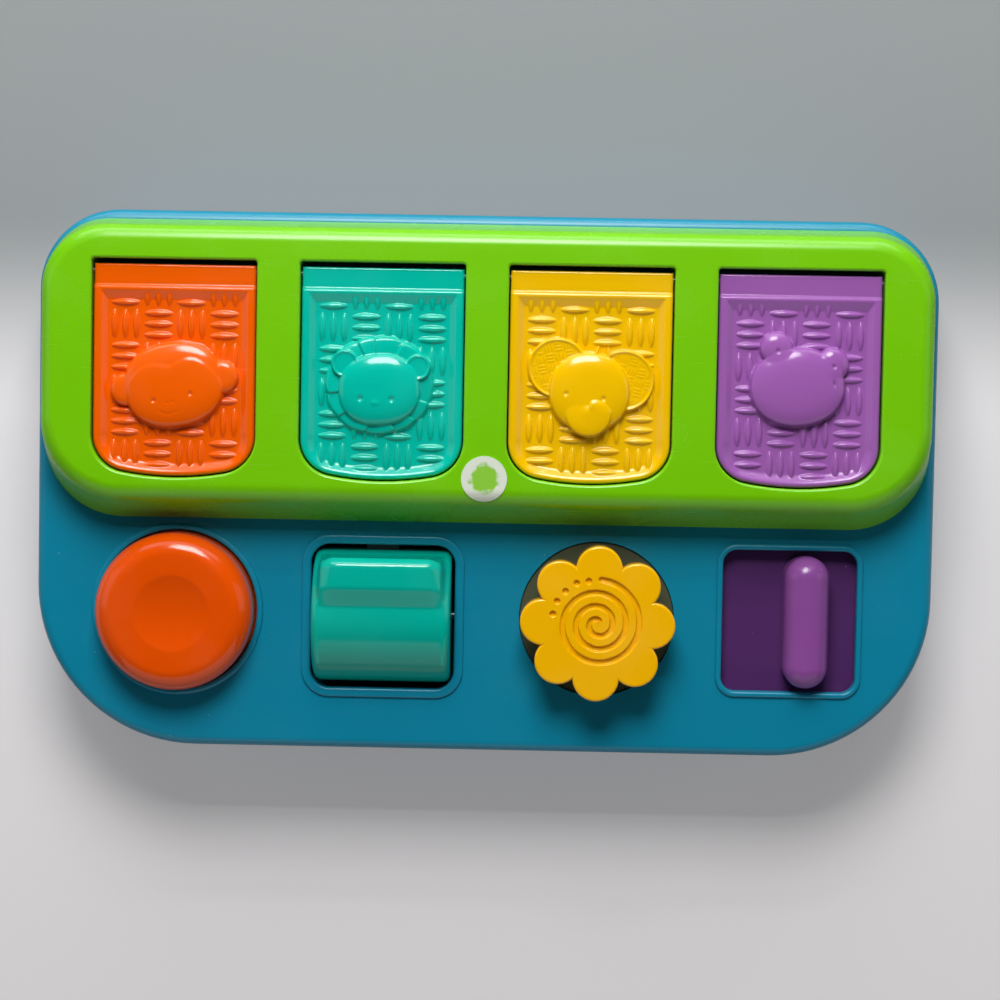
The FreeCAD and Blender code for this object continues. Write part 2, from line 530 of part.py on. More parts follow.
def door_frame():
    body = new_body("frame")
    block = loft(body, "frame_block", frame_outline,
                 rounded_levels("dims.deck_z", "dims.frame_top_z", "dims.frame_edge_round"))
    ceiling = "(dims.frame_top_z - dims.wall)"
    loft(body, "frame_hollow", frame_outline,
         [("dims.deck_z", "dims.frame_wall"), (ceiling, "dims.frame_wall")], cut=True)

    depth = f"{ceiling} + dims.overlap - dims.deck_z"
    liners = new_sketch(body, "liner_lines", offset="dims.deck_z")
    for index in range(4):
        lid_outline(liners, lid_x(index), "(dims.lid_gap + dims.liner_wall)",
                    "(dims.lid_back_gap + dims.liner_wall)")
    pad(body, "liners", liners, depth)
    bosses = new_sketch(body, "frame_boss_lines", offset="dims.deck_z")
    round_spots(FRAME_BOSSES, "dims.frame_boss_radius")(bosses)
    pad(body, "frame_bosses", bosses, depth)

    windows = new_sketch(body, "window_lines", offset="dims.frame_top_z")
    for index in range(4):
        lid_outline(windows, lid_x(index), "dims.lid_gap", "dims.lid_back_gap")
    pocket(body, "windows", windows, "dims.frame_top_z - dims.deck_z")
    back_y = number("dims.lid_back_y + dims.lid_back_gap")

    def window_corner(edge):
        bounds = edge.BoundBox
        upright_edge = bounds.ZLength > 10 and bounds.XLength < 1e-4 and bounds.YLength < 1e-4
        return upright_edge and abs(bounds.YMin - back_y) < 1e-4
    round_edges(body, "window_corners", "dims.window_corner", window_corner)
    top_z = number("dims.frame_top_z")
    inner_y = number("dims.lid_back_y + dims.lid_back_gap + dims.window_edge_round")
    outer_y = number("dims.lid_front_y - dims.lid_gap - dims.window_edge_round")
    inner_x = number(f"{lid_x(3)} + dims.lid_half_width + dims.lid_gap + dims.window_edge_round")

    def window_edge(edge):
        bounds = edge.BoundBox
        inside = abs(bounds.XMin) < inner_x and abs(bounds.XMax) < inner_x
        return flat_at(edge, top_z) and inside and bounds.YMin > outer_y and bounds.YMax < inner_y
    round_edges(body, "window_rounding", "dims.window_edge_round", window_edge)

    pilots = new_sketch(body, "frame_pilot_lines", offset="dims.deck_z")
    round_spots(FRAME_BOSSES, "dims.pilot_radius")(pilots)
    pocket(body, "frame_pilots", pilots, "dims.frame_screw_depth", up=True)
    for index in range(4):
        pin = new_sketch(body, f"pin_hole_lines_{index}", "YZ_Plane", lid_x(index))
        circle(pin, "dims.hinge_y", "dims.hinge_z", "dims.hinge_pin_radius + dims.hinge_clearance")
        reach = "(dims.lid_half_width + dims.lid_gap + dims.liner_wall + dims.overlap)"
        pocket(body, f"pin_holes_{index}", pin, f"{reach} * 2", midplane=True)
    slots = new_sketch(body, "nose_slot_lines", "XZ_Plane", "0 - dims.liner_slot_y")
    reach = "(dims.latch_nose_half_width + dims.latch_play)"
    for index in range(4):
        rectangle(slots, f"{lid_x(index)} - {reach}", f"{lid_x(index)} + {reach}",
                  "dims.latch_nose_bottom - dims.slot_play", "dims.latch_nose_top + dims.slot_play")
    pocket(body, "nose_slots", slots, "dims.liner_slot_depth", midplane=True)
    keep("door_frame", body)
    return block


def round_label(frame_block):
    """A thin disc laid over the frame's front edge: a slice of the frame's own skin."""
    radius = number("dims.label_radius")
    thickness = number("dims.label_thickness")
    low = number("dims.frame_top_z - dims.frame_edge_round")
    cutter = Part.makeCylinder(radius, number("dims.frame_edge_round") * 2,
                               Vector(0, number("dims.label_y"), low))
    skin = frame_block.Shape.copy()
    skin.translate(Vector(0, 0, thickness))
    label = doc.addObject("Part::Feature", "label")
    label.Shape = cutter.common(skin).cut(frame_block.Shape).Solids[0]
    return keep("round_label", label)


# ---- lids ----

# Raised shapes of each animal's head on its lid: a dome each, as
# (name, across, below the hinge edge, half width, half length, height, turn in degrees).
LID_RELIEFS = {
    "monkey": [("ear_left", -15.8, 39.4, 4.6, 4.6, 2.6, 0), ("ear_right", 15.4, 35.1, 4.6, 4.6, 2.6, 0),
               ("head", 0.0, 37.4, 15.1, 12.8, 4.6, 7)],
    "lion": [("mane", -0.3, 36.1, 17.2, 15.4, 2.8, -5), ("ear_left", -10.6, 28.8, 3.9, 3.9, 3.6, 0),
             ("ear_right", 11.8, 30.8, 3.9, 3.9, 3.6, 0), ("head", -0.8, 37.1, 12.5, 10.7, 4.8, -5)],
    "elephant": [("ear_left", -10.5, 29.8, 9.3, 9.3, 2.2, 0), ("ear_right", 11.0, 34.3, 8.8, 8.8, 2.2, 0),
                 ("head", -0.8, 37.0, 12.7, 12.7, 4.6, 0), ("trunk", -1.2, 44.2, 6.7, 6.7, 5.2, 0)],
    "hippo": [("ear_left", -8.0, 24.4, 4.7, 4.7, 3.6, 0), ("ear_right", 10.1, 28.0, 4.3, 4.3, 3.6, 0),
              ("head", -1.6, 36.3, 14.6, 12.0, 4.8, -12)],
}


def dome(body, name, x, y, base_z, half_x, half_y, height, turn, hanging=False):
    """Half an ellipsoid standing on a level, or hanging from it."""
    feature = body.newObject("PartDesign::AdditiveEllipsoid", name)
    feature.Radius1 = height
    feature.Radius2 = half_x
    feature.Radius3 = half_y
    feature.Angle1 = -90 if hanging else 0
    feature.Angle2 = 0 if hanging else 90
    plane = next(item for item in body.Origin.OriginFeatures if item.Role == "XY_Plane")
    feature.AttachmentSupport = [(plane, "")]
    feature.MapMode = "FlatFace"
    feature.AttachmentOffset = Placement(Vector(), Rotation(Vector(0, 0, 1), turn))
    for axis, expression in zip("xyz", (x, y, base_z)):
        feature.setExpression(f"AttachmentOffset.Base.{axis}", str(expression))
    return feature


def lid(index, animal):
    body = new_body(f"{animal}_lid_body")
    plate = new_sketch(body, f"{animal}_plate_lines", offset="dims.lid_bottom_z")
    lid_outline(plate, "0", "0", "0")
    pad(body, f"{animal}_plate", plate, "dims.lid_rim_z - dims.lid_bottom_z")

    strip = new_sketch(body, f"{animal}_strip_lines", offset="dims.lid_rim_z")
    rectangle(strip, "0 - dims.lid_half_width - 1", "dims.lid_half_width + 1",
              "dims.lid_back_y - dims.lid_strip_length", "dims.lid_back_y + 1")
    pocket(body, f"{animal}_strip", strip, "dims.lid_rim_z - dims.lid_strip_z")

    recess = new_sketch(body, f"{animal}_recess_lines", offset="dims.lid_rim_z")
    lid_outline(recess, "0", "(0 - dims.lid_rim_width)",
                "(0 - dims.lid_strip_length - dims.lid_ridge_length)")
    pocket(body, f"{animal}_recess", recess, "dims.lid_rim_z - dims.lid_recess_z")

    barrel = new_sketch(body, f"{animal}_barrel_lines", "YZ_Plane")
    circle(barrel, "dims.hinge_y", "dims.hinge_z", "dims.hinge_barrel_radius")
    pad(body, f"{animal}_barrel", barrel, "dims.lid_half_width * 2", midplane=True)
    hook = new_sketch(body, f"{animal}_hook_lines", "YZ_Plane")
    polygon(hook, [("dims.hook_face_y", "dims.lid_bottom_z + dims.overlap"),
                   ("dims.hook_face_y", "dims.hook_lip_z"), ("dims.hook_lip_y", "dims.hook_lip_z"),
                   ("dims.hook_lip_y", "dims.hook_bottom_z"), ("dims.hook_back_y", "dims.hook_bottom_z"),
                   ("dims.hook_back_y", "dims.lid_bottom_z + dims.overlap")])
    pad(body, f"{animal}_hook", hook, "dims.hook_half_width * 2", midplane=True)

    for name, across, below, half_x, half_y, height, turn in LID_RELIEFS[animal]:
        dome(body, f"{animal}_{name}", across, f"dims.lid_back_y - {below}",
             "dims.lid_recess_z - dims.overlap", half_x, half_y, height, turn)

    bore = new_sketch(body, f"{animal}_bore_lines", "YZ_Plane")
    circle(bore, "dims.hinge_y", "dims.hinge_z", "dims.hinge_pin_radius")
    pocket(body, f"{animal}_bore", bore, "dims.lid_half_width * 2 + 2", midplane=True)
    place(body, lid_x(index))
    return keep(f"{animal}_lid", body)


def hinge_pin(index, animal):
    pin = crosswise(f"{animal}_pin", f"{lid_x(index)} - dims.hinge_pin_half_length",
                    f"{lid_x(index)} + dims.hinge_pin_half_length",
                    "dims.hinge_y", "dims.hinge_z", "dims.hinge_pin_radius")
    return keep(f"{animal}_hinge_pin", pin)


# The small figure that each lid carries on its inner side, seen when the lid is up: domes that
# hang from a plate, as (name, across, towards the hinge, half width, half length, height).
FIGURE_SHAPES = {
    "monkey": [("ear_left", -11.0, 1.0, 3.6, 3.6, 3.0), ("ear_right", 11.0, 1.0, 3.6, 3.6, 3.0),
               ("head", 0, 0, 10.0, 9.0, 6.0)],
    "lion": [("mane", 0, 0, 13.0, 13.0, 3.0), ("head", 0, 0, 9.0, 8.5, 6.0)],
    "elephant": [("ear_left", -9.0, 1.5, 5.5, 7.0, 2.4), ("ear_right", 9.0, 1.5, 5.5, 7.0, 2.4),
                 ("head", 0, 0, 8.5, 8.5, 5.6), ("trunk", 0, -7.5, 3.0, 5.5, 5.8)],
    "hippo": [("ear_left", -7.0, 9.5, 3.0, 3.0, 3.2), ("ear_right", 7.0, 9.5, 3.0, 3.0, 3.2),
              ("head", 0, 0, 11.0, 10.0, 6.0)],
}


def figure(index, animal):
    """The plate's hinge side is the figure's feet side, so it stands upright on an open lid."""
    body = new_body(f"{animal}_figure_body")
    plate = new_sketch(body, f"{animal}_card_lines", offset="dims.lid_bottom_z")
    window(plate, "0", "dims.figure_y", "dims.figure_half_x", "dims.figure_half_y", "dims.figure_corner")
    pad(body, f"{animal}_card", plate, "dims.figure_plate", down=True)
    for name, across, along, half_x, half_y, height in FIGURE_SHAPES[animal]:
        dome(body, f"{animal}_figure_{name}", across, f"dims.figure_y - ({along})",
             "dims.lid_bottom_z - dims.figure_plate + dims.overlap", half_x, half_y, height, 0, hanging=True)
    place(body, lid_x(index))
    return keep(f"{animal}_figure", body)


def lid_spring(index, animal):
    """A bent leaf on the deck whose free end presses up beside the figure."""
    lines = [("dims.leaf_foot_y", "dims.deck_z"), ("dims.leaf_bend_y", "dims.deck_z"),
             ("dims.leaf_tip_y", "dims.lid_bottom_z - dims.leaf_gap - dims.leaf_thickness"),
             ("dims.leaf_tip_y", "dims.lid_bottom_z - dims.leaf_gap"),
             ("dims.leaf_bend_y", "dims.deck_z + dims.leaf_thickness"),
             ("dims.leaf_foot_y", "dims.deck_z + dims.leaf_thickness")]
    body = new_body(f"{animal}_leaf_body")
    profile = new_sketch(body, f"{animal}_leaf_lines", "YZ_Plane")
    polygon(profile, lines)
    pad(body, f"{animal}_leaf", profile, "dims.leaf_half_width * 2", midplane=True)
    place(body, f"{lid_x(index)} + dims.leaf_x")
    return keep(f"{animal}_lid_spring", body)


# ---- latches ----

def latch_core(index, front, plate_half_width="dims.latch_half_width"):
    """What every latch has: a plate under the deck, an upstand through it, a nose and a spring post."""
    x = lid_x(index)
    nose = (f"{x} - dims.latch_nose_half_width", f"{x} + dims.latch_nose_half_width")
    plate = (f"{x} - {plate_half_width}", f"{x} + {plate_half_width}")
    return [
        box(f"latch_{index}_plate", plate, (front, "dims.latch_back_y"),
            ("dims.latch_plate_bottom", "dims.latch_plate_top")),
        box(f"latch_{index}_upstand", nose, ("dims.latch_upstand_front", "dims.latch_upstand_back"),
            ("dims.latch_plate_bottom", "dims.latch_nose_top")),
        box(f"latch_{index}_nose", nose, ("dims.latch_upstand_front", "dims.latch_nose_tip"),
            ("dims.latch_nose_bottom", "dims.latch_nose_top")),
        upright(f"latch_{index}_post", x, "dims.latch_post_y", "dims.latch_post_radius",
                "dims.latch_spring_z - dims.anchor_drop", "dims.latch_plate_bottom + dims.overlap"),
    ]


def latch_drop(index, bottom):
    x = lid_x(index)
    return box(f"latch_{index}_drop", (f"{x} - dims.latch_half_width", f"{x} + dims.latch_half_width"),
               ("dims.latch_drop_front", "dims.latch_drop_back"), (bottom, "dims.latch_plate_top"))


def button_latch():
    """The button's wedge comes down against this latch's ramp, so the two slopes are parallel."""
    ramp = new_body("ramp")
    profile = new_sketch(ramp, "ramp_lines", "YZ_Plane")
    face = ("(dims.wedge_back_y - dims.wedge_width - dims.cam_gap"
            " - dims.latch_stroke / dims.button_stroke * (({z}) - dims.wedge_bottom))")
    low, high = "dims.button_plate_top - dims.overlap", "(dims.wedge_bottom + dims.button_stroke)"
    polygon(profile, [(face.format(z=low), low), (face.format(z=high), high),
                      ("dims.ramp_front_y", high), ("dims.ramp_front_y", low)])
    pad(ramp, "ramp_block", profile, "dims.latch_half_width * 2", midplane=True)
    place(ramp, lid_x(0))
    x = lid_x(0)
    floor = box("latch_0_floor", (f"{x} - dims.latch_half_width", f"{x} + dims.latch_half_width"),
                ("dims.ramp_front_y", "dims.latch_drop_back"),
                ("dims.button_plate_bottom", "dims.button_plate_top"))
    pieces = latch_core(0, "dims.latch_drop_front") + [latch_drop(0, "dims.button_plate_bottom"), floor, ramp]
    return keep("button_latch", union("button_latch_set", *pieces))


def rocker_latch():
    """Two teeth on the plate's end stand either side of the rocker's cross bar."""
    half = "dims.rocker_fork_half_width"
    x = lid_x(1)
    near = "(dims.rocker_lug_radius + dims.fork_gap)"
    far = f"({near} + dims.fork_tooth)"
    pieces = latch_core(1, f"dims.rocker_y - {far}", half)
    height = ("dims.latch_plate_top - dims.overlap",
              "dims.rocker_axis_z + dims.rocker_lug_height + dims.rocker_lug_radius")
    for i, (front, back) in enumerate(((f"- {far}", f"- {near}"), (f"+ {near}", f"+ {far}"))):
        pieces.append(box(f"fork_tooth_{i}", (f"{x} - {half}", f"{x} + {half}"),
                          (f"dims.rocker_y {front}", f"dims.rocker_y {back}"), height))
    return keep("rocker_latch", union("rocker_latch_set", *pieces))


def knob_latch():
    """The knob's crank pin runs in a cross slot; a second opening leaves room for the shaft."""
    level = ("dims.knob_plate_bottom", "dims.knob_plate_top")
    cut_level = ("dims.knob_plate_bottom - 1", "dims.knob_plate_top + 1")
    floor = box("latch_2_floor", (f"{lid_x(2)} - dims.latch_half_width", "dims.knob_plate_right"),
                ("dims.knob_plate_front", "dims.latch_drop_back"), level)
    pin_y = "(dims.knob_y + dims.crank_radius * sin(dims.knob_turn / 2 * 1deg))"
    slot_half = "(dims.crank_pin_radius + dims.fork_gap)"
    shaft_half = "(dims.knob_shaft_radius + dims.latch_play)"
    slot = box("crank_slot", ("dims.knob_x", f"dims.knob_x + dims.crank_radius + {slot_half}"),
               (f"{pin_y} - {slot_half}", f"{pin_y} + {slot_half}"), cut_level)
    room = box("shaft_room", (f"dims.knob_x - {shaft_half}", f"dims.knob_x + {shaft_half}"),
               (f"dims.knob_y - {shaft_half}", f"dims.knob_y + {shaft_half} + dims.latch_stroke"), cut_level)
    solid = union("knob_latch_set", *latch_core(2, "dims.latch_drop_front"),
                  latch_drop(2, "dims.knob_plate_bottom"), floor)
    return keep("knob_latch", minus("knob_latch_cut", solid, slot, room))


def slider_latch():
    """The slider's pin runs in a slanted slot, which draws the latch forwards."""
    level = ("dims.cam_plate_bottom", "dims.cam_plate_top")
    floor = box("latch_3_floor", ("dims.cam_plate_left", "dims.cam_plate_right"),
                ("dims.cam_plate_front", "dims.latch_drop_back"), level)
    reach = "(dims.cam_pin_radius + dims.cam_gap)"
    low, high = "dims.cam_plate_bottom - 1", "dims.cam_plate_top + 1"
    start = upright("cam_slot_start", "dims.grip_x", "dims.slide_y", reach, low, high)
    end = upright("cam_slot_end", "dims.grip_x - dims.slide_stroke", "dims.slide_y + dims.latch_stroke",
                  reach, low, high)
    run = doc.addObject("Part::Box", "cam_slot_run")
    slope = math.degrees(math.atan2(number("dims.latch_stroke"), -number("dims.slide_stroke")))
    run.Placement = Placement(Vector(), Rotation(Vector(0, 0, 1), slope))
    run.setExpression("Length", "sqrt(dims.slide_stroke ^ 2 + dims.latch_stroke ^ 2)")
    run.setExpression("Width", f"2 * {reach}")
    run.setExpression("Height", f"{high} - ({low})")
    place(run, f"dims.grip_x + {reach} * sin({slope} * 1deg)",
          f"dims.slide_y - {reach} * cos({slope} * 1deg)", low)
    solid = union("slider_latch_set", *latch_core(3, "dims.latch_drop_front"),
                  latch_drop(3, "dims.cam_plate_bottom"), floor)
    return keep("slider_latch", minus("slider_latch_cut", solid, start, end, run))


def latch_keepers():
    """A strap under each latch holds it up against the deck."""
    reach = "(dims.latch_half_width + dims.latch_play + dims.guide_width)"
    straps = [box(f"keeper_{i}", (f"{lid_x(i)} - {reach}", f"{lid_x(i)} + {reach}"),
                  ("dims.keeper_front", "dims.keeper_back"), ("dims.keeper_bottom", "dims.keeper_top"))
              for i in range(4)]
    return keep("latch_keepers", union("keepers", *straps))


def coil(radius, height, turns, wire):
    """A coil spring's solid, standing on the origin along +Z."""
    helix = Part.makeHelix(height / turns, height, radius)
    section = Part.Wire(Part.makeCircle(wire, Vector(radius, 0, 0), Vector(0, 1, 0)))
    return Part.Wire(helix.Edges).makePipeShell([section], True, True)


def latch_spring(index, name):
    """A tension spring from the latch's post back to the deck's."""
    wire, start, end = (number(f"dims.{item}") for item in ("spring_wire", "latch_post_y", "latch_spring_y"))
    eye = number("dims.latch_post_radius + dims.spring_wire + dims.cam_gap")
    inset = eye + number("dims.spring_lead")
    body = coil(number("dims.latch_coil_radius"), end - start - 2 * inset, 16, wire)
    body.rotate(Vector(), Vector(1, 0, 0), -90)
    body.translate(Vector(0, start + inset, 0))
    loops = [Part.makeTorus(eye, wire, Vector(0, y, 0)) for y in (start, end)]
    spring = doc.addObject("Part::Feature", f"{name}_spring_shape")
    leads = [Part.makeCylinder(wire, inset - eye + 3 * wire, Vector(0, y, 0), Vector(0, 1, 0))
             for y in (start + eye - wire, end - inset - 2 * wire)]
    spokes = [Part.makeCylinder(wire, number("dims.latch_coil_radius"), Vector(0, y, 0), Vector(1, 0, 0))
              for y in (start + inset, end - inset)]
    spring.Shape = body.multiFuse(loops + leads + spokes)
    spring.Placement = Placement(Vector(number(lid_x(index)), 0, number("dims.latch_spring_z")), Rotation())
    return keep(f"{name}_spring", spring)


# ---- push button ----

def push_button():
    """A domed cap with a dished middle; a stem guides it and a wedge rib works the latch."""
    cap = new_body("button_cap")
    outer, wall = number("dims.button_radius"), number("dims.button_wall")
    flange = number("dims.button_flange_radius")
    low, flange_top = number("dims.latch_plate_bottom"), number("dims.latch_plate_top")
    shoulder, top = number("dims.button_shoulder_z"), number("dims.button_top_z")
    dish_radius, dish_z = number("dims.button_dish_radius"), number("dims.button_dish_z")
    crown = outer - (top - shoulder)
    rim_z = top - number("dims.button_rim_fall")
    inner, ceiling = outer - wall, dish_z - wall
    ball = (dish_radius ** 2 + (rim_z - dish_z) ** 2) / (2 * (rim_z - dish_z))
    half = math.asin(dish_radius / ball) / 2
    slant = math.sqrt(0.5)
    outline = new_sketch(cap, "cap_lines", "XZ_Plane")
    crown_round = top - shoulder

    def line(start, end):
        return add_line(outline, start, end)

    def arc(start, middle, end):
        points = [Vector(*point, 0) for point in (start, middle, end)]
        return outline.addGeometry(Part.Arc(*points), False)

    edges = [
        line((0, ceiling), (crown, ceiling)),
        line((crown, ceiling), (inner, shoulder - wall)),
        line((inner, shoulder - wall), (inner, low)),
        line((inner, low), (flange, low)),
        line((flange, low), (flange, flange_top)),
        line((flange, flange_top), (outer, flange_top)),
        line((outer, flange_top), (outer, shoulder)),
        arc((outer, shoulder), (crown + crown_round * slant, shoulder + crown_round * slant), (crown, top)),
        arc((crown, top), ((crown + dish_radius) / 2, top - (top - rim_z) * 0.3), (dish_radius, rim_z)),
        arc((dish_radius, rim_z), (ball * math.sin(half), dish_z + ball * (1 - math.cos(half))), (0, dish_z)),
        line((0, dish_z), (0, ceiling)),
    ]
    for item in edges:
        constrain(outline, "Block", item)
    turned = cap.newObject("PartDesign::Revolution", "cap_turned")
    turned.Profile = outline
    turned.ReferenceAxis = (outline, ["V_Axis"])
    turned.Angle = 360

    stem = new_sketch(cap, "stem_lines", offset="dims.guide_tube_top - dims.button_stem_entry")
    circle(stem, "0", "0", "dims.button_stem_radius")
    pad(cap, "stem", stem, "dims.button_dish_z - dims.button_wall + dims.overlap"
        " - (dims.guide_tube_top - dims.button_stem_entry)")
    rib = new_sketch(cap, "wedge_lines", "YZ_Plane")
    back = "(dims.wedge_back_y - dims.button_y)"
    tip = f"({back} - dims.wedge_width)"
    root = f"({tip} - dims.wedge_height * dims.latch_stroke / dims.button_stroke)"
    base = "(dims.button_dish_z - dims.button_wall + dims.overlap)"
    shoulder_z = "(dims.wedge_bottom + dims.wedge_height)"
    polygon(rib, [(back, "dims.wedge_bottom"), (tip, "dims.wedge_bottom"), (root, shoulder_z),
                  (root, base), (back, base)])
    pad(cap, "wedge", rib, "dims.latch_nose_half_width * 2", midplane=True)
    place(cap, "dims.button_x", "dims.button_y")
    return keep("push_button", cap)


def button_spring():
    low, high = number("dims.guide_tube_top"), number("dims.button_dish_z - dims.button_wall")
    wire = number("dims.button_spring_wire")
    spring = doc.addObject("Part::Feature", "button_coil")
    inset = wire + number("dims.overlap")
    spring.Shape = coil(number("dims.button_coil_radius"), high - low - 2 * inset, 9, wire)
    spring.Placement = Placement(
        Vector(number("dims.button_x"), number("dims.button_y"), low + inset), Rotation())
    return keep("button_spring", spring)


# ---- rocker ----

def rocker_switch():
    """A hollow drum with a raised bar along its back; a cross bar inside works the latch."""
    body = new_body("rocker")
    outline = new_sketch(body, "drum_lines", "YZ_Plane")
    radius, skirt = number("dims.rocker_radius"), number("dims.rocker_skirt")
    bar_back, bar_top = number("dims.rocker_bar_back"), number("dims.rocker_bar_height")
    bevel, bar_front = number("dims.rocker_bar_bevel"), number("dims.rocker_bar_front")
    foot = number("dims.rocker_bar_foot")
    low_y = math.sqrt(radius ** 2 - skirt ** 2)
    foot_z = math.sqrt(radius ** 2 - foot ** 2)
    back_z = math.sqrt(radius ** 2 - bar_back ** 2)
    low = math.degrees(math.asin(skirt / radius))
    points = [(foot, foot_z), (bar_front, bar_top), (bar_back - bevel, bar_top),
              (bar_back, bar_top - bevel), (bar_back, back_z)]
    bar = [add_line(outline, start, end) for start, end in zip(points, points[1:])]
    back = add_arc(outline, (0, 0), radius, low, math.degrees(math.atan2(back_z, bar_back)))
    underside = add_line(outline, (low_y, skirt), (-low_y, skirt))
    front = add_arc(outline, (0, 0), radius, math.degrees(math.atan2(foot_z, foot)), 180 - low)
    for item, following in zip(bar, bar[1:]):
        constrain(outline, "Coincident", item, 2, following, 1)
    constrain(outline, "Coincident", bar[-1], 2, back, 2)
    constrain(outline, "Coincident", back, 1, underside, 1)
    constrain(outline, "Coincident", underside, 2, front, 2)
    constrain(outline, "Coincident", front, 1, bar[0], 1)
    for item in bar + [back, underside, front]:
        constrain(outline, "Block", item)
    pad(body, "drum", outline, "dims.rocker_half_width * 2", midplane=True)
    doc.recompute()
    high = number("dims.rocker_bar_height") - bevel - 0.1
    half = number("dims.rocker_half_width")

    def outer_edge(edge):
        bounds = edge.BoundBox
        side = abs(abs(bounds.XMin) - half) < 1e-4 and abs(bounds.XMax - bounds.XMin) < 1e-4
        return bounds.ZMax > skirt + 0.1 and (side or bounds.ZMin > high)
    round_edges(body, "drum_rounding", "dims.rocker_round", outer_edge)

    hollow = new_sketch(body, "drum_hollow_lines", "YZ_Plane")
    circle(hollow, "0", "0", "dims.rocker_radius - dims.rocker_wall")
    pocket(body, "drum_hollow", hollow, "(dims.rocker_half_width - dims.rocker_wall) * 2", midplane=True)
    notch = new_sketch(body, "notch_lines", "YZ_Plane")
    polygon(notch, [("dims.rocker_radius / 2", "dims.rocker_skirt - 1"),
                    ("dims.rocker_radius + 1", "dims.rocker_skirt - 1"),
                    ("dims.rocker_radius + 1", "dims.rocker_notch_top"),
                    ("dims.rocker_radius / 2", "dims.rocker_notch_top")])
    pocket(body, "latch_notch", notch, "(dims.rocker_fork_half_width + 1) * 2", midplane=True)
    lug = new_sketch(body, "lug_lines", "YZ_Plane")
    circle(lug, "0", "dims.rocker_lug_height", "dims.rocker_lug_radius")
    pad(body, "cross_bar", lug, "(dims.rocker_half_width - dims.rocker_wall + dims.overlap) * 2",
        midplane=True)
    bore = new_sketch(body, "axle_bore_lines", "YZ_Plane")
    circle(bore, "0", "0", "dims.axle_radius + dims.axle_clearance")
    pocket(body, "axle_bore", bore, "dims.rocker_half_width * 2 + 2", midplane=True)
    place(body, "dims.rocker_x", "dims.rocker_y", "dims.rocker_axis_z")
    return keep("rocker_switch", body)


def rocker_axle():
    return keep("rocker_axle", crosswise(
        "axle", "dims.rocker_x - dims.rocker_ear_outer", "dims.rocker_x + dims.rocker_ear_outer",
        "dims.rocker_y", "dims.rocker_axis_z", "dims.axle_radius"))


def rocker_spring():
    """A torsion coil on the axle, beside the latch's fork."""
    wire, radius = number("dims.spring_wire"), number("dims.rocker_coil_radius")
    length = number("dims.rocker_coil_length")
    body = coil(radius, length, 8, wire)
    leg = number("dims.rocker_leg")
    up = Part.makeCylinder(wire, leg, Vector(radius, 0, length), Vector(0, 1, 0))
    down = Part.makeCylinder(wire, leg, Vector(radius, 0, 0), Vector(0, -1, 0))
    spring = doc.addObject("Part::Feature", "rocker_coil")
    spring.Shape = body.multiFuse([up, down])
    spring.Placement = Placement(
        Vector(number("dims.rocker_x + dims.rocker_coil_x"), number("dims.rocker_y"),
               number("dims.rocker_axis_z")), Rotation(Vector(0, 1, 0), 90))
    return keep("rocker_spring", spring)


# ---- flower knob ----

def flower_knob():
    body = new_body("flower")
    core = new_sketch(body, "flower_core_lines", offset="dims.petal_bottom")
    circle(core, "0", "0", "dims.petal_ring")
    pad(body, "flower_core", core, "dims.petal_top - dims.petal_bottom")
    petal = new_sketch(body, "petal_lines", offset="dims.petal_bottom")
    circle(petal, "0", "dims.petal_ring", "dims.petal_radius")
    one = pad(body, "petal", petal, "dims.petal_top - dims.petal_bottom")
    doc.recompute()
    ring = body.newObject("PartDesign::PolarPattern", "petals")
    ring.Originals = [one]
    ring.Axis = (core, ["N_Axis"])
    ring.Angle = 360
    ring.Occurrences = int(number("dims.petal_count"))
    body.Tip = ring
    top_z = number("dims.petal_top")
    round_edges(body, "petal_rounding", "dims.petal_round", lambda edge: flat_at(edge, top_z))
    hub = new_sketch(body, "hub_lines", offset="dims.knob_disc_top")
    circle(hub, "0", "0", "dims.knob_hub_radius")
    pad(body, "hub", hub, "dims.petal_bottom - dims.knob_disc_top + dims.overlap")
    shaft = new_sketch(body, "shaft_lines", offset="dims.knob_shaft_end")
    circle(shaft, "0", "0", "dims.knob_shaft_radius")
    pad(body, "shaft", shaft, "dims.knob_disc_top - dims.knob_shaft_end + dims.overlap")
    bore = new_sketch(body, "shaft_bore_lines", offset="dims.knob_shaft_end")
    circle(bore, "0", "0", "dims.pilot_radius")
    pocket(body, "shaft_bore", bore, "dims.knob_screw_depth", up=True)
    place(body, "dims.knob_x", "dims.knob_y")
    return keep("flower_knob", body)


def knob_disc():
    """The stepped disc that closes the deck's round hole and carries the crank pin."""
    x, y = "dims.knob_x", "dims.knob_y"
    pin_x = f"{x} + dims.crank_radius * cos(dims.knob_turn / 2 * 1deg)"
    pin_y = f"{y} + dims.crank_radius * sin(dims.knob_turn / 2 * 1deg)"
    solid = union(
        "knob_disc_solid",
        upright("knob_flange", x, y, "dims.knob_flange_radius", "dims.knob_disc_bottom",
                "dims.knob_flange_top"),
        upright("knob_face", x, y, "dims.knob_disc_radius", "dims.knob_disc_bottom", "dims.knob_disc_top"),
        upright("crank_pin", pin_x, pin_y, "dims.crank_pin_radius", "dims.crank_pin_end",
                "dims.knob_disc_bottom + dims.overlap"))
    hole = upright("knob_disc_hole", x, y, "dims.knob_shaft_radius", "dims.knob_disc_bottom - 1",
                   "dims.knob_disc_top + 1")
    return keep("knob_disc", minus("knob_disc_cut", solid, hole))


